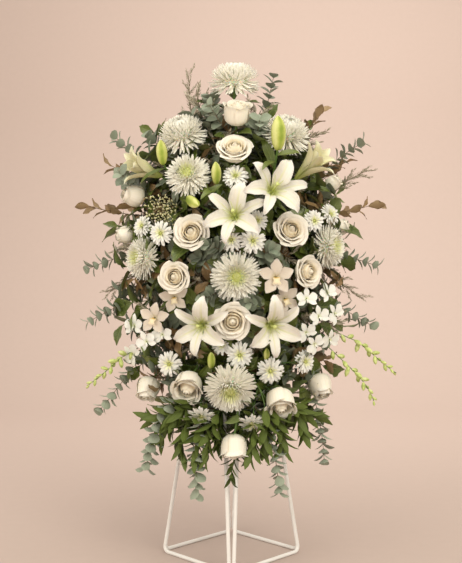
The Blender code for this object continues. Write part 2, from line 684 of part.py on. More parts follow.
class Room:
    """What is already taken, so that a later stem or leaf can be set clear of it."""

    def __init__(self):
        self.taken = []

    def add(self, owner, shape):
        points, faces = shape
        self.taken.append((owner, *self.box(points), BVHTree.FromPolygons(points, faces)))

    @staticmethod
    def box(points):
        low = [min(point[axis] for point in points) for axis in range(3)]
        high = [max(point[axis] for point in points) for axis in range(3)]
        return low, high

    def clear(self, shape, but=()):
        """Whether a shape, made a little larger than real, meets nothing taken, but for the owners named."""
        points, faces = shape
        low, high = self.box(points)
        tree = None
        for owner, its_low, its_high, its_tree in self.taken:
            if owner in but or any(low[k] > its_high[k] or high[k] < its_low[k] for k in range(3)):
                continue
            tree = tree or BVHTree.FromPolygons(points, faces)
            if tree.overlap(its_tree):
                return False
        return True


def rod_loop(corners, normal, turn):
    """One closed loop of bent rod through four corners in a plane, with flats facing straight down."""
    path = []
    for index, corner in enumerate(corners):
        before, after = corners[index - 1], corners[(index + 1) % 4]
        to_before, to_after = (before - corner).normalized(), (after - corner).normalized()
        half = to_before.angle(to_after) / 2
        reach = ROD_BEND / math.tan(half)
        centre = corner + (to_before + to_after).normalized() * (ROD_BEND / math.sin(half))
        begin, finish = corner + to_before * reach, corner + to_after * reach
        for share in (0, 0.5, 1):
            point = begin.lerp(finish, share)
            path.append(centre + (point - centre).normalized() * ROD_BEND)
    points, faces = [], []
    count = len(path)
    for index, centre in enumerate(path):
        back = (centre - path[index - 1]).normalized()
        ahead = (path[(index + 1) % count] - centre).normalized()
        tangent = (back + ahead).normalized()
        inward = normal.cross(tangent)
        widen = 1 / max(tangent.dot(ahead), 0.5)
        for k in range(ROD_SIDES):
            angle = turn + 2 * math.pi * (k + 0.5) / ROD_SIDES
            points.append(centre + ROD_RADIUS * (math.cos(angle) * widen * inward + math.sin(angle) * normal))
    for index in range(count):
        for k in range(ROD_SIDES):
            a, b = index * ROD_SIDES + k, index * ROD_SIDES + (k + 1) % ROD_SIDES
            c, d = (a + ROD_SIDES) % (count * ROD_SIDES), (b + ROD_SIDES) % (count * ROD_SIDES)
            faces.append((a, b, d, c))
    return points, faces


def build_stand():
    """Four rod loops, one along each side of the base square."""
    foot = ROD_RADIUS * math.cos(math.pi / ROD_SIDES)
    top_corner = BASE_CORNER - LEG_LEAN * STAND_TOP
    for side in range(4):
        ends = []
        for corner in (side, side + 1):
            turn = math.radians(90 * corner - 90)
            ends.append(Vector((math.cos(turn), math.sin(turn), 0)))
        along = (ends[1] - ends[0]).normalized()
        corners = [
            ends[0] * BASE_CORNER + along * LOOP_INSET_BOTTOM + Vector((0, 0, foot)),
            ends[1] * BASE_CORNER - along * LOOP_INSET_BOTTOM + Vector((0, 0, foot)),
            ends[1] * top_corner - along * LOOP_INSET_TOP + Vector((0, 0, STAND_TOP)),
            ends[0] * top_corner + along * LOOP_INSET_TOP + Vector((0, 0, STAND_TOP)),
        ]
        normal = (corners[1] - corners[0]).cross(corners[3] - corners[0]).normalized()
        inward = normal.cross((corners[1] - corners[0]).normalized())
        lean = math.atan2(-normal.z, inward.z)
        shape = rod_loop(corners, normal, -lean)
        node(f"stand_side_{side + 1}", "rod", [shape])
        room.add("stand", shape)


def build_bowl():
    """Plastic bowl that rests on the top bars."""
    base = STAND_TOP + ROD_RADIUS + FIT_GAP
    profile = [
        (BOWL_BASE_RADIUS, 0), (BOWL_RIM_RADIUS, BOWL_HEIGHT), (BOWL_RIM_RADIUS - BOWL_WALL, BOWL_HEIGHT),
        (BOWL_BASE_RADIUS - BOWL_WALL, BOWL_WALL),
    ]
    rings = [
        [Vector((radius * math.cos(2 * math.pi * k / BOWL_SIDES), radius * math.sin(2 * math.pi * k / BOWL_SIDES),
                 base + height)) for k in range(BOWL_SIDES)]
        for radius, height in profile
    ]
    shape = rings_shape(rings, Vector((0, 0, base)), Vector((0, 0, base + BOWL_WALL)))
    node("foam_bowl", "bowl", [shape])
    room.add("bowl", shape)
    return base + BOWL_WALL + FIT_GAP


def box_shape(low, high):
    """An upright box between two corners."""
    points = [Vector((x, y, z)) for z in (low.z, high.z) for x, y in
              ((low.x, low.y), (high.x, low.y), (high.x, high.y), (low.x, high.y))]
    return points, [(3, 2, 1, 0), (4, 5, 6, 7), (0, 1, 5, 4), (1, 2, 6, 5), (2, 3, 7, 6), (3, 0, 4, 7)]


def add_stem(name, path, radius, shapes, sides=3):
    """A stem's tube, joined to its plant and noted as taken."""
    shape = tube(path, [radius] * len(path), sides)
    shapes.append(shape)
    room.add(name + "_stem", shape)


def add_hole(path, radius):
    """The foam's hole for a stem, a little wider and deeper than the stem."""
    beyond = path[0] + (path[0] - path[1]).normalized() * STEM_HOLE_GAP
    holes.append(tube([beyond, path[1]], [radius + 2 * STEM_HOLE_GAP] * 2, 3))


def clear_path(name, points, radius, steps, but=(), tail=()):
    """A smooth path whose way point moves aside, a little more on each round, until the stem is clear."""
    start, way, end = (Vector(point) for point in points)
    chord = (end - start).normalized()
    side = sideways(chord)
    for ring in range(SEARCH_ROUNDS):
        for k in range(8 if ring else 1):
            shift = Matrix.Rotation(k * math.pi / 4, 3, chord) @ side * (SEARCH_STEP * ring)
            path = smooth_path((start, way + shift, end), steps) + list(tail)
            test = tube(path, [radius + CLEARANCE] * len(path), 4)
            if room.clear(test, (name, name + "_stem", *but)):
                return path
    print("no clear way for", name, tuple(end))
    return smooth_path((start, way, end), steps) + list(tail)


def back_along(path, distance):
    """The point this far back from a path's end, and the way that the path runs there."""
    for index in range(len(path) - 1, 0, -1):
        run = path[index - 1] - path[index]
        if distance <= run.length or index == 1:
            return path[index] + run.normalized() * min(distance, run.length), -run.normalized()
        distance -= run.length


def root_of(place):
    """Where in the foam the stem of a head at this place ends."""
    return Vector((place.x * ROOT_SHARE_X, ROOT_DEPTH, ROOT_MIDDLE + (place.z - BED_MIDDLE) * ROOT_SHARE_Z))


def place_heads():
    """Every bloom in its place, by plant, as (kind, way it faces, its back, its shapes)."""
    placed = {}
    for name, heads in PLANTS.items():
        placed[name] = []
        for kind, x, z, lift, yaw, pitch, roll, width in heads:
            frame = facing(on_bed(x, z, lift), yaw, pitch, roll)
            head, depth = HEADS[kind](width)
            head = [moved(shape, frame) for shape in head]
            face = frame.to_3x3() @ Vector((0, 0, 1))
            placed[name].append((kind, face, frame @ Vector((0, 0, -depth)), head))
            for shape in head:
                room.add(name, shape)
    return placed


def single_stem(name, kind, face, back, root, shapes):
    """The stem of a bloom that stands alone: its path."""
    if back.z < LOW_BLOOM:
        elbow = Vector(LOW_STEM_ELBOW) + Vector((back.x * 0.8, 0, 0))
    else:
        elbow = back.lerp(root, 0.45) - face * 0.012
    radius = STEM_RADIUS[kind]
    path = clear_path(name, (root, elbow, back - face * 0.006), radius, 2, ("foam",), [back + face * 0.004])
    add_stem(name, path, radius, shapes)
    add_hole(path, radius)
    return path


def forked_stems(name, heads, root, shapes):
    """The stem of a spray and its branches: the branches' paths."""
    middle = sum((back for _, _, back, _ in heads), Vector()) / len(heads)
    fork = middle.lerp(root, 0.35)
    radius = STEM_RADIUS[heads[0][0]]
    trunk = clear_path(name, (root, root.lerp(fork, 0.6), fork), radius, 2, ("foam",))
    add_stem(name, trunk, radius, shapes)
    add_hole(trunk, radius)
    begin = fork - (fork - trunk[-2]).normalized() * 0.003
    branches = []
    for kind, face, back, head in heads:
        way = begin.lerp(back, 0.5) - face * 0.008
        path = clear_path(name, (begin, way, back - face * 0.004), radius * BRANCH_SHARE, 2, (), [back + face * 0.003])
        add_stem(name, path, radius * BRANCH_SHARE, shapes, 3)
        branches.append(path)
    for points, buds in BUD_SPIKES.get(name, ()):
        bud_spike(name, fork, points, buds, shapes)
    return branches


def bud_spike(name, fork, points, buds, shapes):
    """The drooping end of an orchid spray, with buds that shrink towards its tip."""
    path = clear_path(name, points, 0.0014, 4)
    path = [fork, fork.lerp(path[0], 0.6)] + path
    add_stem(name, path, 0.0014, shapes, 3)
    for bud in range(buds):
        place, along = back_along(path, 0.005 + 0.022 * bud)
        out = (Matrix.Rotation(bud * GOLDEN_ANGLE, 3, along) @ sideways(along) * 1.2 + along).normalized()
        size = 0.013 + 0.009 * bud / buds
        across = sideways(out)
        shape = moved(spindle(size, 0.5 * size, 4), basis(place + out * size * 0.44, across, out.cross(across), out))
        shapes.append(shape)
        room.add(name, shape)


def build_plants():
    """Every bloom on its stem, and every spray of blooms on its forked stem."""
    grown = {}
    for name, heads in place_heads().items():
        shapes = []
        middle = sum((back for _, _, back, _ in heads), Vector()) / len(heads)
        root = root_of(middle)
        if len(heads) == 1:
            kind, face, back, head = heads[0]
            paths = [single_stem(name, kind, face, back, root, shapes)]
        else:
            paths = forked_stems(name, heads, root, shapes)
        for _, _, _, head in heads:
            shapes += head
        grown[name] = (shapes, [(kind, path) for (kind, _, _, _), path in zip(heads, paths)])
    return grown


def set_leaf(name, place, along, out, spread, length, width, shapes):
    """Adds a leaf at a point of a stem, turned a little at a time round the stem until it is clear of the rest."""
    tilt = math.radians(spread)
    for attempt in LEAF_TRIES:
        turned = Matrix.Rotation(math.radians(attempt), 3, along) @ out
        reach = (along * math.cos(tilt) + turned * math.sin(tilt)).normalized()
        upper = along * math.sin(tilt) - turned * math.cos(tilt)
        frame = basis(place, reach.cross(upper), reach, upper)
        grown = blade(length, width, LEAF_BEND, CLEARANCE)
        beyond = moved(grown, frame @ Matrix.Translation((0, 0.005, 0)))
        if room.clear(beyond, (name + "_stem",)) and room.clear(moved(grown, frame), (name, name + "_stem")):
            shape = moved(blade(length, width, LEAF_BEND), frame)
            shapes.append(shape)
            room.add(name, shape)
            return


def add_stem_leaves(grown):
    """Leaves on the blooms' own stems, just behind the heads, where there is room for them."""
    for index, (name, (shapes, stems)) in enumerate(grown.items()):
        for kind, path in stems:
            leaves, length, width, behind, spread = STEM_LEAVES.get(kind, (0, 0, 0, 0, 0))
            for leaf in range(leaves):
                place, along = back_along(path, behind + 0.006 * leaf)
                out = Matrix.Rotation(leaf * 2 * math.pi / leaves + index, 3, along) @ sideways(along)
                set_leaf(name, place, along, out, spread, length, width, shapes)


def build_foliage():
    """Fans of leafy stems: each fan is one branch, rooted in the foam and forked at its hub."""
    fans = {}
    for name, (kind, root, hub, stems) in FOLIAGE.items():
        radius = LEAF_KINDS[kind][0]
        root, hub = Vector(root), Vector(hub)
        shapes, paths = [], []
        add_stem(name, [root, hub], radius * FAN_STEM_SHARE, shapes)
        add_hole([root, hub], radius * FAN_STEM_SHARE)
        for way, tip in stems:
            path = clear_path(name, (hub.lerp(root, 0.03), way, tip), radius, 3)
            add_stem(name, path, radius, shapes, 3)
            paths.append(path)
        fans[name] = (kind, shapes, paths)
    for name, (kind, shapes, paths) in fans.items():
        for path in paths:
            leafy_stem(name, kind, path, shapes)
    return fans


def leafy_stem(name, kind, path, shapes):
    """The leaves of one stem, smaller towards its tip, and one at the tip."""
    _, first, spacing, length, width, spread, pairs = LEAF_KINDS[kind]
    total = sum((b - a).length for a, b in zip(path, path[1:]))
    count = max(2, round(total * (1 - first) / spacing))
    for leaf in range(count):
        place, along = back_along(path, 0.006 + total * (1 - first) * leaf / count)
        size = 0.62 + 0.38 * (leaf + 1) / count
        turn = leaf * (math.pi / 2 if pairs else GOLDEN_ANGLE)
        for opposite in range(2 if pairs else 1):
            out = Matrix.Rotation(turn + opposite * math.pi, 3, along) @ sideways(along)
            set_leaf(name, place, along, out, spread, size * length, size * width, shapes)
    place, along = back_along(path, 0.001)
    set_leaf(name, place, along, sideways(along), 5, 0.62 * length, 0.62 * width, shapes)


for existing in list(bpy.data.objects):
    bpy.data.objects.remove(existing)

room = Room()
holes = []
materials = {}

build_stand()
foam_foot = build_bowl()
foam = box_shape(
    Vector((-FOAM_HALF_WIDTH, -FOAM_HALF_DEPTH, foam_foot)), Vector((FOAM_HALF_WIDTH, FOAM_HALF_DEPTH, FOAM_TOP))
)
room.add("foam", foam)
plants = build_plants()
foliage = build_foliage()
add_stem_leaves(plants)

node("foam_block", "foam", [foam], holes)
for plant_name, (plant_shapes, _) in plants.items():
    node(plant_name, plant_name.split("_")[0], plant_shapes)
for fan_name, (fan_kind, fan_shapes, _) in foliage.items():
    node(fan_name, fan_kind, fan_shapes)

for made in bpy.context.scene.objects:
    made.data.transform(Matrix.Translation(CENTRING))
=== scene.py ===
import json
import math

import bpy
from mathutils import Matrix, Vector

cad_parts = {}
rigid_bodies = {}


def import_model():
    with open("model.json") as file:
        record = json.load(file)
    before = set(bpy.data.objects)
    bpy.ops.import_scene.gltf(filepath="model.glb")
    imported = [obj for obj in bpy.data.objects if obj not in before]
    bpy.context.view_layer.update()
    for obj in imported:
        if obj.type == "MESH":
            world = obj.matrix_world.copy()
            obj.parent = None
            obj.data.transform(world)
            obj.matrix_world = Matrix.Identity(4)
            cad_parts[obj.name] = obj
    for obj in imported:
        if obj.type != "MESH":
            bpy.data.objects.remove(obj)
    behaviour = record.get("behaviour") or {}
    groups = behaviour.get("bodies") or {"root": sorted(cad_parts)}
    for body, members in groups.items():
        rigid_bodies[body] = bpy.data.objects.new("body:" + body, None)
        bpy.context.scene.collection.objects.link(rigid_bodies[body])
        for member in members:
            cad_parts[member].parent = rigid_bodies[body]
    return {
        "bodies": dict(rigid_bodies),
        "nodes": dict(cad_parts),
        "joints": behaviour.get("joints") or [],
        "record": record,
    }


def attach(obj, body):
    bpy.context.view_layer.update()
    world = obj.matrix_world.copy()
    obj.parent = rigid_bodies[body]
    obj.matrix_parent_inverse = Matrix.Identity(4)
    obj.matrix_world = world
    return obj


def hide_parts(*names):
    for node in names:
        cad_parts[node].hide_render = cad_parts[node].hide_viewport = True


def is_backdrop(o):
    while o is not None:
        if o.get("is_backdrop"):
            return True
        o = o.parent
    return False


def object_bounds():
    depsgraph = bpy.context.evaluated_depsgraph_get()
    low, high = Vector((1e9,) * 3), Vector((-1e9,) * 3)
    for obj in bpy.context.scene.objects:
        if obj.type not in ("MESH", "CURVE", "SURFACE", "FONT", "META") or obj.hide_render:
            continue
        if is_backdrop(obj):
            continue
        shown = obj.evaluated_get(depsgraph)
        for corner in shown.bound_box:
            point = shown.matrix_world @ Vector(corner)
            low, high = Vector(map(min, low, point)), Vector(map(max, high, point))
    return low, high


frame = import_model()
cad_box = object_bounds()


# Stand
# Four closed loops of bent steel rod, one along each side of a square that points forwards, welded where
# they meet at the corners. Powder coated off-white.

CENTRING = Vector((-0.009, 0.037, 0))
BASE_CORNER, STAND_TOP, LEG_LEAN = 0.183, 0.42, 0.128
ROD_RADIUS, ROD_BEND, ROD_SIDES, BEND_STEPS = 0.0052, 0.014, 20, 8
ROD_FOOT = ROD_RADIUS * math.cos(math.pi / 8)
INSET_BOTTOM, INSET_TOP = 0.0078, 0.026


def put(tree, kind, feeds=None, out=0, **settings):
    """Adds a node with these inputs, as values or sockets, and gives one of its outputs."""
    made = tree.nodes.new(kind if "Node" in kind else tree.bl_idname[:-4] + kind)
    for name, value in settings.items():
        setattr(made, name, value)
    for key, value in (feeds or {}).items():
        if isinstance(value, bpy.types.NodeSocket):
            tree.links.new(value, made.inputs[key])
        else:
            made.inputs[key].default_value = value
    return made.outputs[out]


def feed(inputs, sockets):
    """Joins sockets to inputs, by their names."""
    for label, socket in sockets.items():
        socket.id_data.links.new(socket, inputs[label])


def sums(operation, a, b=0.0, clamp=False):
    """One step of arithmetic, in the tree that a or b belongs to."""
    tree = (a if isinstance(a, bpy.types.NodeSocket) else b).id_data
    return put(tree, "ShaderNodeMath", {0: a, 1: b}, operation=operation, use_clamp=clamp)


def plus(a, b):
    return sums("ADD", a, b)


def times(a, b):
    return sums("MULTIPLY", a, b)


def between(share, low=0.0, high=1.0, since=0.0, until=1.0, smooth=False):
    """A number that runs from low to high as share runs from since to until."""
    return put(share.id_data, "ShaderNodeMapRange", {0: share, 1: since, 2: until, 3: low, 4: high},
               interpolation_type="SMOOTHSTEP" if smooth else "LINEAR")


def new_tree(name, family, takes, gives):
    """A node tree with these named sockets by kind. A Pair is two numbers, First and Last."""
    tree = bpy.data.node_groups.new(name, family)
    for way, labels in (("INPUT", takes), ("OUTPUT", gives)):
        for kind, names in labels.items():
            for label in names.split(", "):
                for end in ("First ", "Last ") if kind == "Pair" else ("",):
                    tree.interface.new_socket(end + label, in_out=way,
                                              socket_type="NodeSocket" + kind.replace("Pair", "Float"))
    return tree, tree.nodes.new("NodeGroupInput").outputs, tree.nodes.new("NodeGroupOutput").inputs


def growth_tree(name, **takes):
    """A Geometry Nodes tree with these inputs by kind."""
    return new_tree(name, "GeometryNodeTree", {"Geometry": "Geometry", **takes}, {"Geometry": "Geometry"})


def dressed(geometry, material):
    """Grown geometry as plain smooth mesh in its material."""
    real = put(geometry.id_data, "RealizeInstances", {"Geometry": geometry})
    smooth = put(geometry.id_data, "SetShadeSmooth", {"Geometry": real})
    return put(geometry.id_data, "SetMaterial", {"Geometry": smooth, "Material": material})


def grown(start, tree, sizes):
    """The plain mesh that a tree grows from a starting mesh."""
    for label, value in list(sizes.items()):
        if isinstance(value, tuple):
            sizes["First " + label], sizes["Last " + label] = value
    seedling = bpy.data.objects.new("seedling", start)
    bpy.context.scene.collection.objects.link(seedling)
    modifier = seedling.modifiers.new("growth", "NODES")
    modifier.node_group = tree
    for socket in tree.interface.items_tree:
        if socket.in_out == "INPUT" and socket.name in sizes:
            modifier[socket.identifier] = sizes[socket.name]
    mesh = bpy.data.meshes.new_from_object(seedling.evaluated_get(bpy.context.evaluated_depsgraph_get()))
    bpy.data.objects.remove(seedling)
    return mesh


def line_mesh(paths, closed=False):
    """A mesh of bare edges along paths."""
    mesh = bpy.data.meshes.new("paths")
    points, edges = [], []
    for path in paths:
        first = len(points)
        points += [tuple(point) for point in path]
        edges += [(k, k + 1) for k in range(first, len(points) - 1)]
        if closed:
            edges.append((len(points) - 1, first))
    mesh.from_pydata(points, edges, [])
    return mesh


def piece(name, mesh, nodes):
    """Puts a finished mesh on show as a piece of the spray, in place of its plain solids."""
    made = bpy.data.objects.new(name, mesh)
    bpy.context.scene.collection.objects.link(made)
    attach(made, "root")
    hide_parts(*nodes)


def finish(name, roughness, **constants):
    """A material, its tree and its shader, with the shader's own constants set."""
    made = bpy.data.materials.new(name)
    made.use_nodes = True
    shader = made.node_tree.nodes["Principled BSDF"]
    shader.inputs["Roughness"].default_value = roughness
    for key, value in constants.items():
        shader.inputs[key.replace("_", " ")].default_value = value
    return made, made.node_tree, shader


def noise(tree, scale, detail=3.0, roughness=0.5):
    """Noise over the object, as a number round 0.5."""
    place = put(tree, "TexCoord", out="Object")
    return put(tree, "TexNoise", {"Vector": place, "Scale": scale, "Detail": detail, "Roughness": roughness})


def ramp(share, *stops):
    """A colour that runs through stops of (share, colour)."""
    colour = put(share.id_data, "ValToRGB", {0: share})
    stripes = colour.node.color_ramp.elements
    while len(stripes) < len(stops):
        stripes.new(1.0)
    for stripe, (position, tone) in zip(stripes, stops):
        stripe.position = position
        stripe.color = (*tone, 1)
    return colour


def coat(shader, colour, gloss, height, strength, distance):
    """Gives a shader its colour, its roughness and the height that raises its surface."""
    relief = {"Height": height, "Strength": strength, "Distance": distance}
    feed(shader.inputs, {"Base Color": colour, "Normal": put(shader.id_data, "Bump", relief)})
    if gloss:
        feed(shader.inputs, {"Roughness": gloss})


def mottled(name, roughness, field, stops, gloss, grain, strength, distance, **constants):
    """A material in mottled colours. field and grain are a noise's scale, detail and roughness."""
    made, tree, shader = finish(name, roughness, **constants)
    mottle = noise(tree, *field)
    height = noise(tree, *grain) if grain else mottle
    coat(shader, ramp(mottle, *stops), gloss and between(mottle, *gloss), height, strength, distance)
    return made


rod_paint = mottled("rod_paint", 0.36, (9, 4), ((0.3, (0.80, 0.79, 0.78)), (0.7, (0.88, 0.87, 0.87))),
                    (0.30, 0.46), (700, 2), 0.12, 0.0004, Specular_IOR_Level=0.5)
rod_tree, given, result = growth_tree("Bent rod loop", Float="Rod Radius, Bend Radius", Material="Paint")
loop = put(rod_tree, "MeshToCurve", {"Mesh": given["Geometry"]})
bends = {"Curve": loop, "Radius": given["Bend Radius"], "Count": BEND_STEPS}
bends = put(rod_tree, "FilletCurve", bends, mode="POLY")
section = put(rod_tree, "CurvePrimitiveCircle", {"Resolution": ROD_SIDES, "Radius": given["Rod Radius"]})
swept = put(rod_tree, "CurveToMesh", {"Curve": bends, "Profile Curve": section})
feed(result, {"Geometry": dressed(swept, given["Paint"])})

top_corner = BASE_CORNER - LEG_LEAN * STAND_TOP
foot, top = Vector((0, 0, ROD_FOOT)), Vector((0, 0, STAND_TOP))
for side in range(4):
    turns = [math.radians(90 * corner - 90) for corner in (side, side + 1)]
    near, far = (Vector((math.cos(turn), math.sin(turn), 0)) for turn in turns)
    along = (far - near).normalized()
    corners = [
        near * BASE_CORNER + along * INSET_BOTTOM + foot, far * BASE_CORNER - along * INSET_BOTTOM + foot,
        far * top_corner - along * INSET_TOP + top, near * top_corner + along * INSET_TOP + top,
    ]
    start = line_mesh([[corner + CENTRING for corner in corners]], closed=True)
    mesh = grown(start, rod_tree, {"Rod Radius": ROD_FOOT, "Bend Radius": ROD_BEND, "Paint": rod_paint})
    piece(f"rod_loop_{side + 1}", mesh, [f"stand_side_{side + 1}"])


# Bowl and foam
# A moulded bowl of dark green plastic rests on the stand's top bars. A tall column of wet floral foam stands
# in it, fine-celled and dull green, and every stem is pushed into the foam.

BOWL_FLOOR = STAND_TOP + ROD_RADIUS + 0.0003
BOWL_SIDES = 72
BOWL_PROFILE = (
    (0, 0), (0.093, 0), (0.0985, 0.0012), (0.1002, 0.0045), (0.1085, 0.0425), (0.1105, 0.044),
    (0.1112, 0.046), (0.1106, 0.0478), (0.109, 0.0484), (0.1072, 0.0476), (0.1062, 0.045), (0.0972, 0.005),
    (0.0955, 0.0034), (0.092, 0.003), (0, 0.003),
)


def with_spread(mesh, shares):
    """The mesh with its faces' corners laid out at these shares, across and along, as UVs."""
    spread = mesh.uv_layers.new(name="UVMap")
    spread.data.foreach_set("uv", [value for share in shares for value in share])
    return mesh


def turned(profile, sides, skin=None, lobes=0.0):
    """A closed mesh turned from (radius, height) points, first and last on the axis, with three lobes."""
    mesh = bpy.data.meshes.new("turned")
    points, rings = [], []
    for radius, height in profile:
        if radius == 0:
            rings.append([len(points)] * sides)
            points.append((0, 0, height))
            continue
        rings.append(list(range(len(points), len(points) + sides)))
        for k in range(sides):
            turn = 2 * math.pi * k / sides
            reach = radius * (1 + lobes * math.cos(3 * turn))
            points.append((reach * math.cos(turn), reach * math.sin(turn), height))
    faces, shares = [], []
    for level, (low, high) in enumerate(zip(rings, rings[1:])):
        for k in range(sides):
            ring = {low[k]: (k, level), low[(k + 1) % sides]: (k + 1, level)}
            ring = {**ring, high[(k + 1) % sides]: (k + 1, level + 1), high[k]: (k, level + 1)}
            faces.append(list(ring))
            shares += [(column / sides, row / (len(profile) - 1)) for column, row in ring.values()]
    mesh.from_pydata(points, [], faces)
    mesh.shade_smooth()
    if skin:
        mesh.materials.append(skin)
    return with_spread(mesh, shares)


bowl_plastic = mottled(
    "bowl_plastic", 0.42, (35, 6, 0.65), ((0.35, (0.016, 0.038, 0.018)), (0.72, (0.045, 0.085, 0.045))),
    (0.32, 0.58), (260, 2), 0.10, 0.0005, Specular_IOR_Level=0.5,
)
mesh = turned(BOWL_PROFILE, BOWL_SIDES, bowl_plastic)
mesh.transform(Matrix.Translation(CENTRING + Vector((0, 0, BOWL_FLOOR))))
piece("bowl", mesh, ["foam_bowl"])

wet_foam, tree, shader = finish("wet_foam", 0.93)
cells = put(tree, "TexVoronoi", {"Vector": put(tree, "TexCoord", out="Object"), "Scale": 520})
damp = noise(tree, 14, 5, 0.6)
greens = (0.25, (0.018, 0.060, 0.026)), (0.55, (0.050, 0.130, 0.055)), (0.85, (0.085, 0.190, 0.085))
shade = plus(times(damp, 0.7), times(cells, 0.45))
coat(shader, ramp(shade, *greens), between(damp, 0.70, 1.0), cells, 0.55, 0.0016)
for place in frame["nodes"]["foam_block"].material_slots:
    place.material = wet_foam


# Chrysanthemums
# Eight large white blooms of some two hundred strap petals each, the inner ones hooked over a yellow-green
# eye. Each grows at the end of its own stem, pushed into the foam, with a few broad leaves below the bloom.

# The blooms cover a bed, half of an ellipsoid. A head is its x, z, lift off the bed, yaw, pitch, roll and
# width, in millimetres and degrees.
BED_HALF_WIDTH, BED_DEPTH, BED_HALF_HEIGHT, BED_MIDDLE = 0.3, 0.185, 0.56, 0.77
ROOT_DEPTH, ROOT_MIDDLE, ROOT_SHARE_X, ROOT_SHARE_Z = -0.015, 0.74, 0.19, 0.5
LOW_BLOOM, LOW_STEM_ELBOW = 0.42, Vector((0.02, -0.136, 0.494))
GOLDEN_ANGLE = math.radians(137.508)
MUMS = {
    "mum_top": [(8, 1235, 0, 0, 72, 0, 124)],
    "mum_upper_left": [(-124, 1092, 10, -20, 52, 0, 112)],
    "mum_upper_right": [(140, 1092, 10, 20, 50, 10, 114)],
    "mum_left_centre": [(-108, 982, 10, -8, 20, 5, 114)],
    "mum_left": [(-228, 776, 6, -52, 4, 0, 112)],
    "mum_right": [(250, 806, 4, 55, 4, 8, 116)],
    "mum_centre": [(12, 728, 4, 3, -2, 3, 128)],
    "mum_low": [(-3, 455, 52, 0, -25, 0, 130)],
}
DOMED_MUMS = ("mum_top", "mum_upper_left", "mum_upper_right")
MUM_DEPTH = 0.22


def rule(stops):
    """A number that passes smoothly through stops of (share of the length, number)."""
    def number(share):
        for (low, first), (high, last) in zip(stops, stops[1:]):
            if share <= high:
                part = (share - low) / (high - low)
                return first + (last - first) * (3 - 2 * part) * part * part
        return stops[-1][1]
    return number


def spine_of(rows, rise):
    """Points one unit along, in the plane of +Y and +Z, that climb by the rule rise, in degrees."""
    spine = [Vector((0, 0, 0))]
    for row in range(rows):
        turn = math.radians(rise((row + 0.5) / rows))
        spine.append(spine[-1] + Vector((0, math.cos(turn), math.sin(turn))) / rows)
    return spine


def closed_blade(rows, columns, spot):
    """A thin closed mesh over spot(row, share across from -1 to 1, side), its underside marked."""
    points, number = [], {}
    for side in (1, -1):
        for row in range(rows + 1):
            for column in range(columns + 1):
                across = 2 * column / columns - 1
                inside = 0 < column < columns and 0 < row < rows
                if side < 0 and not inside:
                    number[side, row, column] = number[1, row, column]
                    continue
                number[side, row, column] = len(points)
                points.append(spot(row, across, side * (1 - across ** 2) * inside))
    faces, shares, under = [], [], []
    for side in (1, -1):
        for row in range(rows):
            for column in range(columns):
                ring = [(row, column), (row, column + 1), (row + 1, column + 1), (row + 1, column)][::side]
                faces.append([number[side, r, c] for r, c in ring])
                shares += [(c / columns, r / rows) for r, c in ring]
                under.append(float(side < 0))
    mesh = bpy.data.meshes.new("petal")
    mesh.from_pydata(points, [], faces)
    mesh.attributes.new("under", "FLOAT", "FACE").data.foreach_set("value", under)
    rim = {}
    for (_, row, column), index in number.items():
        rim.setdefault(index, (row, column))
    sharp = mesh.attributes.new("sharp_edge", "BOOLEAN", "EDGE")
    for edge, mark in zip(mesh.edges, sharp.data):
        (row, column), (next_row, next_column) = (rim[end] for end in edge.vertices)
        mark.value = (row == next_row and row in (0, rows)
                      or column == next_column and column in (0, columns))
    return with_spread(mesh, shares)


def petal(rows, columns, half_width, rise, cup, fold=0.0, thick=0.02, ripple=0.0, waves=2.5):
    """A thin closed petal or leaf, one unit long along +Y, its face to +Z.

    half_width and rise, in degrees above the way it starts, are stops along its length. cup and fold lift
    its edges, as a round trough or along a crease, and ripple waves its margins.
    """
    half_width, rise = rule(half_width), rule(rise)
    spine = spine_of(rows, rise)

    def spot(row, across, side):
        turn, width = math.radians(rise(row / rows)), half_width(row / rows)
        lift = (cup * across ** 2 + fold * abs(across)) * width + side * thick / 2
        lift += ripple * math.sin(2 * math.pi * waves * row / rows + across) * abs(across) ** 3
        return spine[row] + Vector((width * across, -math.sin(turn) * lift, math.cos(turn) * lift))

    return closed_blade(rows, columns, spot)


def from_ends(given, share, label):
    """A number between a pair of inputs."""
    return between(share, given["First " + label], given["Last " + label])


def chances_of(given, count):
    """Independent random numbers from -1 to 1, and the same times the slack."""
    drawn = []
    for extra in range(count):
        feeds = {2: -1.0, 3: 1.0, "Seed": plus(given["Seed"], float(extra))}
        drawn.append(put(given["Seed"].id_data, "FunctionNodeRandomValue", feeds, 1))
    return drawn, [times(chance, given["Slack"]) for chance in drawn]


def rotation(tilt, twist, yaw):
    """A rotation out of three angles."""
    angles = put(yaw.id_data, "ShaderNodeCombineXYZ", {0: tilt, 1: twist, 2: yaw})
    return put(yaw.id_data, "FunctionNodeEulerToRotation", {0: angles})


def stored(geometry, name, value, domain):
    """Geometry that carries a value under a name."""
    feeds = {"Geometry": geometry, "Name": name, "Value": value}
    return put(geometry.id_data, "StoreNamedAttribute", feeds, domain=domain)


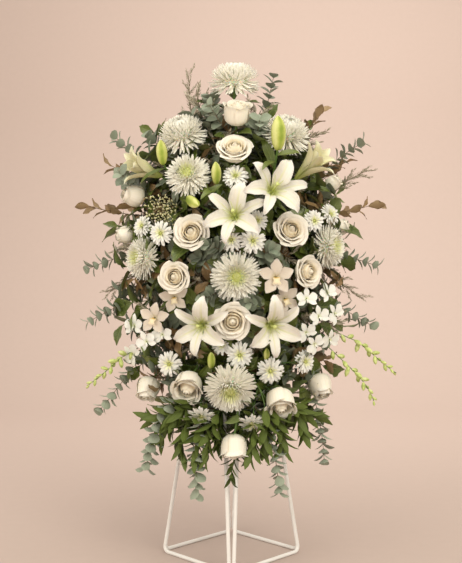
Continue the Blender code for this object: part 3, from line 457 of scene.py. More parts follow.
whorl_tree, given, result = growth_tree(
    "Petal whorl", Int="Petals, Seed", Float="Turn, Start, Slack", Material="Surface",
    Pair="Radius, Height, Tilt, Length, Width",
)
petal_number = put(whorl_tree, "InputIndex")
share = sums("DIVIDE", petal_number, sums("SUBTRACT", given["Petals"], 1.0))
chances, slips = chances_of(given, 3)
yaw = plus(plus(times(petal_number, given["Turn"]), given["Start"]), slips[0])
tilt = plus(from_ends(given, share, "Tilt"), slips[1])
length = times(from_ends(given, share, "Length"), plus(1.0, times(slips[2], 0.5)))
width = times(length, from_ends(given, share, "Width"))
spot = {1: from_ends(given, share, "Radius"), 2: from_ends(given, share, "Height")}
spot = {"Vector": put(whorl_tree, "ShaderNodeCombineXYZ", spot), "Angle": yaw}
spot = put(whorl_tree, "ShaderNodeVectorRotate", spot, rotation_type="Z_AXIS")
line = put(whorl_tree, "MeshLine", {"Count": given["Petals"], "Offset": (0, 0, 0)}, mode="OFFSET")
petals = put(whorl_tree, "InstanceOnPoints", {
    "Points": put(whorl_tree, "SetPosition", {"Geometry": line, "Position": spot}),
    "Instance": given["Geometry"], "Rotation": rotation(tilt, slips[2], yaw),
    "Scale": put(whorl_tree, "ShaderNodeCombineXYZ", {0: width, 1: length, 2: length}),
})
petals = stored(stored(petals, "ring", share, "INSTANCE"), "chance", chances[1], "INSTANCE")
feed(result, {"Geometry": dressed(petals, given["Surface"])})


def radians(pair):
    return tuple(math.radians(one) for one in pair)


def whorl(start, petals, surface, radius, height, tilt, length, width=(1.0, 1.0), turn=GOLDEN_ANGLE,
          begin=0.0, slack=0.06, seed=1):
    """A whorl of petals round +Z. Pairs are its outermost and innermost petal; tilt is in degrees."""
    return grown(start, whorl_tree, {
        "Petals": petals, "Turn": turn, "Start": begin, "Radius": radius, "Height": height,
        "Tilt": radians(tilt), "Length": length, "Width": width, "Slack": slack, "Seed": seed,
        "Surface": surface,
    })


def joined(meshes):
    """One mesh out of several, with their materials."""
    objects = [bpy.data.objects.new("joining", mesh) for mesh in meshes]
    for one in objects:
        bpy.context.scene.collection.objects.link(one)
    if len(objects) > 1:
        with bpy.context.temp_override(object=objects[0], active_object=objects[0],
                                       selected_objects=objects, selected_editable_objects=objects):
            bpy.ops.object.join()
    mesh = objects[0].data
    bpy.data.objects.remove(objects[0])
    return mesh


def spread_of(tree):
    """Where on a petal or leaf: its shares across and along."""
    return put(tree, "SeparateXYZ", {0: put(tree, "UVMap", uv_map="UVMap")}).node.outputs


def skin_tree(name, colours, numbers):
    """A shader group for petals or leaves, and what it reads from them: spread, side and mark."""
    looks = {"Color": "Color", "Float": "Height, Roughness"}
    tree, given, result = new_tree(name, "ShaderNodeTree", {"Color": colours, "Float": numbers}, looks)
    spread = spread_of(tree)
    marks = [put(tree, "Attribute", out="Fac", attribute_name=mark) for mark in ("ring", "under", "chance")]
    return tree, given, result, spread, sums("ABSOLUTE", sums("SUBTRACT", spread[0], 0.5)), marks


def blend(given, colour, *layers):
    """A colour under layers of (share, named colour)."""
    colour = given[colour]
    for share, other in layers:
        feeds = {0: share, 6: colour, 7: given[other]}
        colour = put(share.id_data, "ShaderNodeMix", feeds, 2, data_type="RGBA")
    return colour


# A petal's colour runs from root to rim and from outer to inner petals, with fine ribs.
petal_skin, given, result, spread, aside, (ring, _, chance) = skin_tree(
    "Petal skin", "Root, Blade, Rim, Heart", "Root Share, Heart Share, Ribs, Midrib"
)
wave = sums("SINE", times(spread[0], times(given["Ribs"], 6.283)))
mottle = noise(petal_skin, 160, 4, 0.6)
groove = between(aside, 1.0, 0.0, until=0.12, smooth=True)
colour = blend(
    given, "Blade", (between(spread[1], since=0.72, smooth=True), "Rim"),
    (times(times(groove, sums("SUBTRACT", 1.0, spread[1])), given["Midrib"]), "Root"),
    (between(spread[1], 1.0, 0.0, until=given["Root Share"], smooth=True), "Root"),
    (between(ring, since=given["Heart Share"], smooth=True), "Heart"),
)
light = plus(plus(times(plus(mottle, chance), 0.05), times(wave, 0.015)), 0.965)
feed(result, {
    "Color": put(petal_skin, "VectorMath", {0: colour, 3: light}, operation="SCALE"),
    "Height": plus(times(wave, 0.5), mottle), "Roughness": between(mottle, 0.42, 0.66),
})

# A leaf has a midrib, side veins, a pale underside and a tinted edge.
leaf_skin, given, result, spread, aside, (_, under, chance) = skin_tree(
    "Leaf skin", "Face, Dark, Under, Vein, Edge", "Side Veins, Vein Strength, Edge Strength"
)
slant = times(sums("SUBTRACT", spread[1], times(aside, 0.55)), 6.283)
branch = between(sums("SINE", times(slant, given["Side Veins"])), since=0.80, smooth=True)
veins = sums("MAXIMUM", between(aside, 1.0, 0.0, until=0.045), times(branch, 0.55))
mottle = noise(leaf_skin, 60, 5, 0.6)
edge = between(aside, since=0.36, until=0.5, smooth=True)
feed(result, {
    "Color": blend(
        given, "Face", (sums("ADD", times(mottle, 0.9), times(chance, 0.35), clamp=True), "Dark"),
        (times(edge, given["Edge Strength"]), "Edge"), (times(under, 0.85), "Under"),
        (times(veins, given["Vein Strength"]), "Vein"),
    ),
    "Height": sums("SUBTRACT", mottle, times(veins, 1.2)),
    "Roughness": plus(between(mottle, 0.26, 0.46), times(under, 0.2)),
})


def skinned(name, roughness, skin, colours, numbers, relief, distance, **constants):
    """A material that wears a shader group, with these colours and numbers."""
    made, tree, shader = finish(name, roughness, **constants)
    group = tree.nodes.new("ShaderNodeGroup")
    group.node_tree = skin
    for socket, value in zip(group.inputs, [(*colour, 1) for colour in colours] + list(numbers)):
        socket.default_value = value
    looks = group.outputs
    coat(shader, looks["Color"], looks["Roughness"], looks["Height"], relief, distance)
    return made


def petal_finish(name, root, blade, rim, heart, root_share, ribs, heart_share=1.0, midrib=0.0,
                 relief=0.25, **constants):
    """A petal's material: the petal skin in these four colours."""
    return skinned(name, 0.5, petal_skin, (root, blade, rim, heart), (root_share, heart_share, ribs, midrib),
                   relief, 0.0006, Subsurface_Weight=0.25, Subsurface_Scale=0.0025,
                   Subsurface_Radius=(1.0, 0.85, 0.65), **constants)


def leaf_finish(name, face, dark, under, vein, edge, side_veins, vein_strength=0.5, edge_strength=0.3,
                relief=0.35, **constants):
    """A leaf's material: the leaf skin in these colours."""
    return skinned(name, 0.4, leaf_skin, (face, dark, under, vein, edge),
                   (side_veins, vein_strength, edge_strength), relief, 0.0008, **constants)


def stem_finish(name, pale, dark):
    """A stem's material: two tones, streaked along it."""
    return mottled(name, 0.5, (120, 4, 0.6), ((0.3, dark), (0.7, pale)), (0.40, 0.65), None, 0.3, 0.0006)


stem_tree, given, result = growth_tree(
    "Leafy stem", Object="Leaf", Int="Together, Seed", Material="Bark, Surface",
    Float="Bare Share, Leafy To, Spacing, Turn, Slack", Pair="Spread, Size, Radius",
)
curve = put(stem_tree, "MeshToCurve", {"Mesh": given["Geometry"]})
along = put(stem_tree, "SplineParameter", out="Factor")
swept = put(stem_tree, "CurveToMesh", {
    "Curve": curve, "Scale": from_ends(given, along, "Radius"), "Fill Caps": True,
    "Profile Curve": put(stem_tree, "CurvePrimitiveCircle", {"Resolution": 6, "Radius": 1.0}),
})
leafy = put(stem_tree, "TrimCurve", {"Curve": curve, 2: given["Bare Share"], 3: given["Leafy To"]})
knots = put(stem_tree, "ResampleCurve", {"Curve": leafy, "Length": given["Spacing"]}, mode="LENGTH")
points = put(stem_tree, "CurveToPoints", {"Curve": stored(knots, "ring", along, "POINT")}, mode="EVALUATED")
ahead = points.node.outputs["Rotation"]
points = stored(points, "knot", put(stem_tree, "InputIndex"), "POINT")
twins = {"Geometry": points, "Amount": given["Together"]}
twins = put(stem_tree, "DuplicateElements", twins, domain="POINT")
ring, knot = (put(stem_tree, "InputNamedAttribute", {"Name": name}) for name in ("ring", "knot"))
chances, slips = chances_of(given, 4)
opposite = sums("DIVIDE", times(twins.node.outputs[1], 2 * math.pi), given["Together"])
yaw = plus(times(knot, given["Turn"]), plus(opposite, slips[0]))
tilt = sums("SUBTRACT", math.pi / 2, plus(from_ends(given, ring, "Spread"), slips[1]))
angles = {0: ahead, 1: rotation(tilt, slips[2], yaw)}
leaves = put(stem_tree, "InstanceOnPoints", {
    "Points": twins, "Instance": put(stem_tree, "ObjectInfo", {"Object": given["Leaf"]}, "Geometry"),
    "Rotation": put(stem_tree, "FunctionNodeRotateRotation", angles, rotation_space="LOCAL"),
    "Scale": times(from_ends(given, ring, "Size"), plus(1.0, times(chances[3], 0.14))),
})
leaves = dressed(stored(leaves, "chance", chances[3], "INSTANCE"), given["Surface"])
plant = put(stem_tree, "JoinGeometry", {0: dressed(swept, given["Bark"])})
feed(plant.node.inputs, {0: leaves})
feed(result, {"Geometry": plant})


def stems(paths, bark, radius, leaf=None, surface=None, bare=0.5, spacing=0.05, turn=GOLDEN_ANGLE,
          together=1, spread=(60, 40), size=(0.05, 0.04), slack=0.25, seed=1, leafy_to=1.0):
    """Stems along paths, with leaves from the bare share on. Pairs are at the root and the tip."""
    pattern = bpy.data.objects.new("leaf_pattern", leaf or bpy.data.meshes.new("none"))
    bpy.context.scene.collection.objects.link(pattern)
    mesh = grown(line_mesh([[point + CENTRING for point in path] for path in paths]), stem_tree, {
        "Leaf": pattern, "Bare Share": bare, "Spacing": spacing, "Turn": turn,
        "Together": together if leaf else 0, "Spread": radians(spread), "Size": size, "Slack": slack,
        "Seed": seed, "Radius": radius, "Bark": bark, "Surface": surface or bark, "Leafy To": leafy_to,
    })
    bpy.data.objects.remove(pattern)
    return mesh


def facing(place, yaw, pitch, roll):
    """A head's frame: +Z is the way it faces, and +Y is up before it rolls."""
    yaw, pitch = math.radians(yaw), math.radians(pitch)
    across = Vector((math.cos(yaw), math.sin(yaw), 0))
    out = Vector((math.sin(yaw) * math.cos(pitch), -math.cos(yaw) * math.cos(pitch), math.sin(pitch)))
    frame = Matrix((across, out.cross(across), out)).transposed().to_4x4()
    frame.translation = place
    return frame @ Matrix.Rotation(math.radians(roll), 4, "Z")


def on_bed(x, z, lift):
    """The point of the bed seen at x and z, raised towards the front by lift."""
    share = 1 - (x / BED_HALF_WIDTH) ** 2 - ((z - BED_MIDDLE) / BED_HALF_HEIGHT) ** 2
    return Vector((x, -BED_DEPTH * math.sqrt(max(share, 0)) - lift, z))


def smooth_path(start, middle, end, steps=10):
    """A curve that starts at the first point, passes near the middle one and ends at the last."""
    start, middle, end = Vector(start), Vector(middle), Vector(end)
    control = 2 * middle - (start + end) / 2
    shares = [step / steps for step in range(steps + 1)]
    return [(1 - t) ** 2 * start + 2 * t * (1 - t) * control + t * t * end for t in shares]


def root_of(place):
    """Where in the foam the stem of a head at this place ends."""
    height = ROOT_MIDDLE + (place.z - BED_MIDDLE) * ROOT_SHARE_Z
    return Vector((place.x * ROOT_SHARE_X, ROOT_DEPTH, height))


def metres(*millimetres):
    return tuple(one / 1000 for one in millimetres)


def heads_of(rows):
    """Heads in metres and degrees."""
    return [(*metres(x, z, lift), *turns, width / 1000) for x, z, lift, *turns, width in rows]


def set_head(mesh, head, half=True):
    """A copy of a head, one unit in radius or length, in its place on the bed."""
    x, z, lift, yaw, pitch, roll, width = head
    copy = mesh.copy()
    scale = width / 2 if half else width
    copy.transform(facing(on_bed(x, z, lift) + CENTRING, yaw, pitch, roll) @ Matrix.Scale(scale, 4))
    return copy


def back_of(head, depth):
    """The middle of a head's back, and the way the head faces. depth is a share of its width."""
    x, z, lift, yaw, pitch, roll, width = head
    frame = facing(on_bed(x, z, lift), yaw, pitch, roll)
    return frame @ Vector((0, 0, -depth * width)), frame.to_3x3() @ Vector((0, 0, 1))


def lone_stem(head, depth):
    """The path of a stem with one bloom, from the foam to just inside the bloom's back."""
    back, face = back_of(head, depth)
    root = root_of(back)
    elbow = back.lerp(root, 0.45) - face * 0.012
    if back.z < LOW_BLOOM:
        elbow = LOW_STEM_ELBOW + Vector((back.x * 0.8, 0, 0))
    return smooth_path(root, elbow, back + face * 0.004)


def forked_stems(heads, depths):
    """The paths of a spray's stem and of its branches, one to each head, and the point where it forks."""
    backs = [back_of(head, depth) for head, depth in zip(heads, depths)]
    middle = sum((back for back, _ in backs), Vector()) / len(backs)
    root = root_of(middle)
    fork = middle.lerp(root, 0.35)
    trunk = [root.lerp(fork, step / 4) for step in range(5)]
    branches = [smooth_path(fork, fork.lerp(back, 0.5) - face * 0.008, back + face * 0.003)
                for back, face in backs]
    return trunk, branches, fork


def planted(name, heads, depths, shapes, radius, leaf, bare, spread, size, seed, leafy_to,
            spacing=0.017):
    """Sets up a node's blooms, out of shapes, and the stem that they share."""
    if len(heads) == 1:
        paths = [lone_stem(heads[0], depths[0])]
    else:
        trunk, paths, _ = forked_stems(heads, depths)
        paths[0] = trunk[:-1] + paths[0]
    green = stems(paths, stem_green, radius, leaf, glossy_leaf, bare, spacing, spread=spread, size=size,
                  seed=seed, leafy_to=leafy_to)
    piece(f"{name}_bloom", joined(shapes), [name])
    piece(f"{name}_stem", green, [name])


STRAP_WIDTH = (0, 0.026), (0.30, 0.054), (0.70, 0.071), (0.90, 0.062), (1, 0.028)
outer_strap = petal(4, 2, STRAP_WIDTH, ((0, 6), (0.5, -4), (1, 22)), 0.60)
middle_strap = petal(4, 2, STRAP_WIDTH, ((0, 0), (0.5, 12), (1, 50)), 0.60)
inner_strap = petal(4, 2, STRAP_WIDTH, ((0, 0), (0.4, 24), (1, 96)), 0.80)
spur = petal(3, 2, STRAP_WIDTH, ((0, 0), (1, 0)), 0.3)
mum_white = petal_finish("mum_white", (0.88, 0.89, 0.62), (0.96, 0.94, 0.85), (0.97, 0.96, 0.90),
                         (0.80, 0.83, 0.42), 0.35, 3, Sheen_Weight=0.08)
mum_heart = petal_finish("mum_heart", (0.76, 0.82, 0.32), (0.92, 0.93, 0.64), (0.96, 0.95, 0.80),
                         (0.86, 0.90, 0.48), 0.4, 3, 0.4)
mum_eye = petal_finish("mum_eye", (0.58, 0.68, 0.10), (0.82, 0.86, 0.34), (0.90, 0.92, 0.52),
                       (0.62, 0.70, 0.12), 0.6, 3, 0.35)
mum_floor = mottled("mum_florets", 0.7, (420, 3), ((0.35, (0.66, 0.67, 0.46)), (0.62, (0.90, 0.89, 0.80))),
                    None, None, 0.6, 0.002, Subsurface_Weight=0.5, Subsurface_Scale=0.006)
mum_middle = [
    whorl(spur, 16, mum_eye, (0.20, 0.12), (-0.44, -0.40), (-50, -30), (0.22, 0.20), slack=0.1, seed=9),
    turned([(0, -0.44), (0.22, -0.42), (0.44, -0.3), (0.5, -0.12), (0.42, 0.02), (0.24, 0.11), (0, 0.13)],
           20, mum_floor),
    turned([(0, 0.05), (0.20, 0.09), (0.17, 0.15), (0.10, 0.19), (0, 0.21)], 16, mum_eye),
]


def mum(*whorls):
    """A chrysanthemum out of whorls round its middle."""
    return joined([whorl(*sizes, slack=slack, seed=seed) for *sizes, slack, seed in whorls] + mum_middle)


flat_mum = mum(
    (outer_strap, 90, mum_white, (0.34, 0.32), (-0.30, -0.08), (-8, 8), (0.66, 0.68), 0.11, 3),
    (outer_strap, 100, mum_white, (0.31, 0.27), (-0.04, 0.04), (12, 25), (0.61, 0.54), 0.12, 4),
    (middle_strap, 100, mum_white, (0.28, 0.22), (0.04, 0.10), (26, 42), (0.52, 0.42), 0.12, 5),
    (middle_strap, 64, mum_heart, (0.22, 0.14), (0.09, 0.15), (42, 60), (0.40, 0.28), 0.12, 6),
    (inner_strap, 56, mum_eye, (0.16, 0.01), (0.12, 0.20), (58, 86), (0.25, 0.12), 0.12, 7),
)
domed_mum = mum(
    (outer_strap, 84, mum_white, (0.34, 0.34), (-0.34, -0.16), (-34, -6), (0.72, 0.76), 0.12, 13),
    (middle_strap, 96, mum_white, (0.36, 0.34), (-0.12, -0.02), (2, 22), (0.72, 0.64), 0.10, 14),
    (middle_strap, 96, mum_white, (0.33, 0.26), (0.00, 0.10), (24, 46), (0.62, 0.54), 0.10, 15),
    (inner_strap, 80, mum_white, (0.28, 0.12), (0.10, 0.20), (40, 62), (0.56, 0.42), 0.10, 16),
    (inner_strap, 44, mum_heart, (0.14, 0.01), (0.18, 0.28), (62, 86), (0.34, 0.20), 0.12, 17),
)
broad_leaf = petal(
    8, 4, ((0, 0.035), (0.12, 0.13), (0.42, 0.30), (0.70, 0.22), (0.92, 0.07), (1, 0.012)),
    ((0, 4), (0.5, -6), (1, -26)), 0.10, fold=0.16, thick=0.012, ripple=0.016, waves=2.0,
)
stem_green = stem_finish("stem_green", (0.14, 0.24, 0.05), (0.06, 0.13, 0.025))
glossy_leaf = leaf_finish(
    "glossy_leaf", (0.14, 0.18, 0.03), (0.048, 0.078, 0.013), (0.20, 0.25, 0.09), (0.30, 0.36, 0.10),
    (0.16, 0.20, 0.04), 8, Coat_Weight=0.25, Coat_Roughness=0.25,
)
for order, (name, rows) in enumerate(MUMS.items()):
    heads = heads_of(rows)
    shapes = [set_head(domed_mum if name in DOMED_MUMS else flat_mum, head) for head in heads]
    planted(name, heads, [MUM_DEPTH], shapes, (0.003, 0.003), broad_leaf, 0.58, (62, 78),
            (0.078, 0.066), 20 + order, 0.88)


# Roses
# Ivory garden roses: ten open, with guard petals rolled back round a tight coil, and six still closed. Each
# is cut on its own stem, apart from the four small closed ones at the sides, which share one two by two.

ROSES = {
    "rose_top": [(14, 1142, 10, 5, 62, 0, 74)],
    "rose_upper": [(8, 1047, 10, 0, 38, 20, 82)],
    "rose_left": [(-99, 838, 10, -10, 10, 0, 83)],
    "rose_right": [(148, 845, 10, 12, 14, 30, 82)],
    "rose_left_low": [(-140, 728, 20, -14, 0, 50, 74)],
    "rose_right_low": [(193, 741, 12, 35, 0, 10, 76)],
    "rose_centre": [(3, 620, 26, 0, -4, 15, 86)],
    "rose_low_left": [(-108, 456, 30, -10, -34, 0, 80)],
    "rose_low_right": [(121, 415, 45, 8, -48, 40, 80)],
    "rose_bottom": [(6, 305, 78, 0, -76, 0, 76)],
    "rose_closed_left": [(-217, 435, 0, -25, -58, 0, 64)],
    "rose_closed_right": [(232, 440, 10, 25, -55, 0, 66)],
    "rose_pair_left": [(-258, 940, 0, -60, 12, 0, 60), (-282, 838, -10, -74, -6, 0, 50)],
    "rose_pair_right": [(294, 862, -10, 72, 14, 0, 48), (270, 978, -6, 62, 36, 0, 42)],
}
CUPPED_ROSES = ("rose_top", "rose_low_left", "rose_low_right", "rose_bottom")
CLOSED_ROSES = ("rose_closed_left", "rose_closed_right", "rose_pair_left", "rose_pair_right")
ROSE_DEPTH, CLOSED_ROSE_DEPTH, ROSE_GROWTH = 0.43, 0.55, 1.06
SHELL_COLUMNS = 8

rose_skin = petal_finish("rose_ivory", (0.88, 0.83, 0.56), (0.97, 0.905, 0.78), (0.98, 0.935, 0.85),
                         (0.94, 0.86, 0.74), 0.30, 9, relief=0.08, Sheen_Weight=0.12)
coil_skin = petal_finish("rose_coil", (0.97, 0.80, 0.55), (0.98, 0.875, 0.69), (0.98, 0.92, 0.78),
                         (0.95, 0.83, 0.67), 0.50, 9, relief=0.08, Sheen_Weight=0.12)
sepal_skin = leaf_finish("sepal_green", (0.13, 0.22, 0.05), (0.06, 0.13, 0.03), (0.20, 0.28, 0.12),
                         (0.22, 0.32, 0.10), (0.14, 0.20, 0.05), 6)


def shell(rows, radius, height, length, rise, reach, tuck=0.07, thick=0.022):
    """A closed rose petal that wraps round +Z from a radius and height, and climbs by the stops rise.

    reach is the angle in degrees that it wraps to each side, as stops. tuck sets one edge further out than
    the other, so that the petals of a row lie behind one another.
    """
    rise, reach = rule(rise), rule(reach)
    spine = spine_of(rows, rise)

    def spot(row, across, side):
        out = (radius + length * spine[row].y) * (1 + tuck * across) - side * thick / 2
        turn = math.radians(reach(row / rows)) * across
        dip = 0.05 * length * (row / rows) ** 4 * across ** 2
        return Vector((out * math.sin(turn), out * math.cos(turn), height + length * spine[row].z - dip))

    return closed_blade(rows, SHELL_COLUMNS, spot)


sepal = petal(5, 2, ((0, 0.10), (0.3, 0.12), (1, 0.01)), ((0, 0), (1, 50)), 0.2, fold=0.2)
hip = turned([(0, -1.06), (0.09, -1.05), (0.19, -0.96), (0.22, -0.84), (0.14, -0.70), (0, -0.66)], 12,
             sepal_skin)


def rose(sepals, *layers):
    """A rose out of rows of shells: how many petals, in which skin, turned by what, and how they are made."""
    rows = [whorl(shell(*sizes), count, skin, (0, 0), (0, 0), (0, 0), (1, 1), turn=2 * math.pi / count,
                  begin=begin, slack=0.025, seed=seed) for count, skin, begin, seed, *sizes in layers]
    *sizes, seed = sepals
    return joined(rows + [whorl(sepal, 5, sepal_skin, *sizes, turn=math.radians(72), seed=seed), hip])


open_rose = rose(
    ((0.12, 0.12), (-0.88, -0.88), (-20, -10), (0.62, 0.60), 39),
    (5, rose_skin, 0.0, 31, 10, 0.12, -0.86, 1.40, ((0, 0), (0.3, 36), (0.6, 78), (0.84, 60), (1, -14)),
     ((0, 36), (0.3, 50), (0.8, 54), (1, 32))),
    (5, rose_skin, 0.6, 32, 9, 0.10, -0.82, 1.33, ((0, 6), (0.3, 44), (0.6, 80), (0.85, 68), (1, 4)),
     ((0, 36), (0.3, 52), (0.8, 55), (1, 34))),
    (5, rose_skin, 0.2, 33, 8, 0.08, -0.78, 1.24, ((0, 12), (0.3, 54), (0.6, 84), (0.88, 76), (1, 30)),
     ((0, 40), (0.3, 58), (0.8, 60), (1, 40))),
    (4, coil_skin, 0.75, 38, 8, 0.075, -0.76, 1.20, ((0, 14), (0.3, 60), (0.6, 92), (0.88, 98), (1, 66)),
     ((0, 42), (0.3, 60), (0.8, 62), (1, 44))),
    (4, coil_skin, 0.9, 34, 7, 0.07, -0.72, 1.12, ((0, 20), (0.3, 66), (0.6, 98), (0.88, 112), (1, 96)),
     ((0, 44), (0.3, 66), (1, 52))),
    (4, coil_skin, 0.1, 35, 6, 0.05, -0.60, 1.00, ((0, 34), (0.3, 78), (0.7, 108), (1, 120)),
     ((0, 50), (0.3, 72), (1, 60))),
    (3, coil_skin, 0.5, 36, 5, 0.03, -0.40, 0.82, ((0, 56), (0.4, 88), (1, 116)), ((0, 70), (1, 84)), 0.12),
    (3, coil_skin, 0.0, 37, 4, 0.01, -0.20, 0.60, ((0, 75), (0.5, 90), (1, 108)), ((0, 80), (1, 100)), 0.2,
     0.015),
)
cup_rose = rose(
    ((0.12, 0.12), (-0.95, -0.95), (-16, -4), (0.66, 0.64), 56),
    (5, rose_skin, 0.1, 51, 11, 0.12, -0.95, 1.84,
     ((0, -2), (0.25, 38), (0.5, 84), (0.8, 92), (0.93, 58), (1, 4)),
     ((0, 36), (0.3, 52), (0.8, 54), (1, 34))),
    (5, rose_skin, 0.7, 52, 10, 0.10, -0.90, 1.68, ((0, 4), (0.25, 46), (0.5, 88), (0.85, 92), (1, 52)),
     ((0, 40), (0.3, 56), (0.8, 58), (1, 40))),
    (4, coil_skin, 0.3, 53, 8, 0.08, -0.80, 1.48, ((0, 10), (0.25, 60), (0.5, 96), (0.85, 110), (1, 98)),
     ((0, 50), (0.3, 68), (1, 56))),
    (4, coil_skin, 0.9, 54, 7, 0.06, -0.60, 1.26, ((0, 30), (0.3, 84), (1, 112)), ((0, 60), (1, 74)), 0.10),
    (3, coil_skin, 0.0, 55, 6, 0.03, -0.30, 0.90, ((0, 64), (0.4, 88), (1, 110)), ((0, 76), (1, 92)), 0.16),
)
half_closed_rose = rose(
    ((0.14, 0.14), (-1.04, -1.04), (10, 22), (0.80, 0.78), 47),
    (4, rose_skin, 0.3, 41, 12, 0.14, -1.06, 2.15,
     ((0, -4), (0.25, 34), (0.45, 86), (0.8, 110), (0.92, 84), (1, 34)),
     ((0, 40), (0.3, 60), (0.8, 62), (1, 30))),
    (3, rose_skin, 0.0, 42, 10, 0.12, -1.00, 2.10, ((0, 4), (0.25, 42), (0.45, 92), (0.8, 110), (1, 96)),
     ((0, 50), (0.3, 74), (1, 62))),
    (3, coil_skin, 0.7, 43, 8, 0.08, -0.60, 1.36, ((0, 40), (0.3, 90), (1, 96)), ((0, 70), (1, 80)), 0.12),
    (2, coil_skin, 0.2, 44, 6, 0.03, -0.30, 1.00, ((0, 75), (1, 90)), ((0, 80), (1, 100)), 0.2),
)
rose_leaf = petal(
    7, 4, ((0, 0.03), (0.15, 0.16), (0.45, 0.29), (0.75, 0.21), (1, 0.015)), ((0, 4), (1, -24)), 0.08,
    fold=0.16, thick=0.012, ripple=0.018, waves=6.0,
)
for order, (name, rows) in enumerate(ROSES.items()):
    heads = heads_of(rows)
    closed = name in CLOSED_ROSES
    shape = half_closed_rose if closed else cup_rose if name in CUPPED_ROSES else open_rose
    shapes = [set_head(shape, (*head[:-1], ROSE_GROWTH * head[-1])) for head in heads]
    depths = [CLOSED_ROSE_DEPTH if closed else ROSE_DEPTH] * len(heads)
    planted(name, heads, depths, shapes, (0.0028, 0.0026), rose_leaf, 0.58, (58, 74),
            (0.068, 0.056), 50 + order, 0.86)


# Lilies
# White Oriental lilies, their anthers taken off as florists do: four wide open, two just opening and six
# closed buds. A lily and its buds share a stem.

LILIES = {
    "lily_centre": [
        ("lily", 6, 880, 34, -8, 16, -10, 160), ("lily_bud", -38, 981, 12, -4, 70, 0, 54),
        ("lily_bud", -94, 911, 26, 32, -24, 0, 56),
    ],
    "lily_upper_right": [("lily", 104, 943, 36, 18, 20, -25, 166)],
    "lily_low_left": [("lily", -76, 610, 24, -16, -2, -5, 150), ("lily_bud", -50, 524, 16, 0, 64, 0, 44)],
    "lily_low_right": [("lily", 100, 609, 24, 14, -4, 7, 154), ("lily_bud", 86, 538, 10, 0, 60, 0, 34)],
    "lily_open_left": [
        ("lily_half", -212, 998, 4, -58, 18, 0, 102), ("lily_bud", -172, 1036, 26, -30, 80, 0, 60),
    ],
    "lily_open_right": [
        ("lily_half", 190, 1000, 20, 52, 34, 0, 104), ("lily_bud", 112, 1074, 66, 0, 82, 0, 80),
    ],
}
LILY_DEPTHS = {"lily": 0.20, "lily_half": 0.42, "lily_bud": 0.46}

tepal_skin = petal_finish("lily_white", (0.58, 0.62, 0.15), (0.73, 0.71, 0.65), (0.81, 0.79, 0.77),
                          (0.72, 0.72, 0.63), 0.42, 7, midrib=0.7, relief=0.30, Specular_IOR_Level=0.35)
half_tepal_skin = petal_finish("lily_cream", (0.46, 0.53, 0.12), (0.73, 0.70, 0.46), (0.80, 0.78, 0.60),
                               (0.77, 0.75, 0.53), 0.60, 7, midrib=0.7, relief=0.30)
bud_skin, tree, shader = finish("lily_bud_green", 0.40, Specular_IOR_Level=0.4)
spread = spread_of(tree)
seam = sums("COSINE", times(spread[0], 6 * math.pi))
flush = plus(plus(times(seam, 0.22), times(noise(tree, 38, 4, 0.55), 0.9)), times(spread[1], 0.15))
greens = (0.25, (0.26, 0.35, 0.045)), (0.52, (0.46, 0.52, 0.11)), (0.80, (0.64, 0.66, 0.26))
coat(shader, ramp(flush, *greens), between(flush, 0.30, 0.50), noise(tree, 240), 0.25, 0.0005)
style_skin, tree, shader = finish("style_green", 0.35)
greens = (0.3, (0.46, 0.54, 0.14)), (0.7, (0.66, 0.70, 0.30))
feed(shader.inputs, {"Base Color": ramp(noise(tree, 90), *greens)})

INNER_WIDTH = (0, 0.05), (0.18, 0.09), (0.50, 0.205), (0.72, 0.184), (0.92, 0.066), (1, 0.008)
OUTER_WIDTH = (0, 0.045), (0.18, 0.07), (0.50, 0.135), (0.74, 0.118), (0.93, 0.045), (1, 0.008)
OPEN_RISE = (0, 0), (0.25, -10), (0.50, -32), (0.75, -62), (1, -132)
HALF_RISE = (0, 0), (0.4, -6), (0.7, -16), (0.9, -40), (1, -74)
inner_tepal = petal(14, 6, INNER_WIDTH, OPEN_RISE, 0.16, fold=0.34, ripple=0.034, waves=2.2)
outer_tepal = petal(14, 6, OUTER_WIDTH, OPEN_RISE, 0.12, fold=0.28, ripple=0.014, waves=1.6)
stamen = petal(6, 2, ((0, 0.016), (1, 0.012)), ((0, 0), (1, -42)), 0.1, thick=0.03)
STYLE = [(0, -0.40), (0.035, -0.39), (0.030, -0.10), (0.028, 0.16), (0.040, 0.24), (0.062, 0.27),
         (0.052, 0.30), (0, 0.29)]
THROAT = [(0, -0.48), (0.05, -0.47), (0.10, -0.42), (0.13, -0.30), (0.09, -0.28), (0, -0.34)]


def even(start, count, surface, radius, height, tilt, length, **more):
    """A whorl of like petals, evenly turned unless told otherwise."""
    more = {"turn": 2 * math.pi / count, **more}
    return whorl(start, count, surface, (radius,) * 2, (height,) * 2, (tilt,) * 2, (length,) * 2, **more)


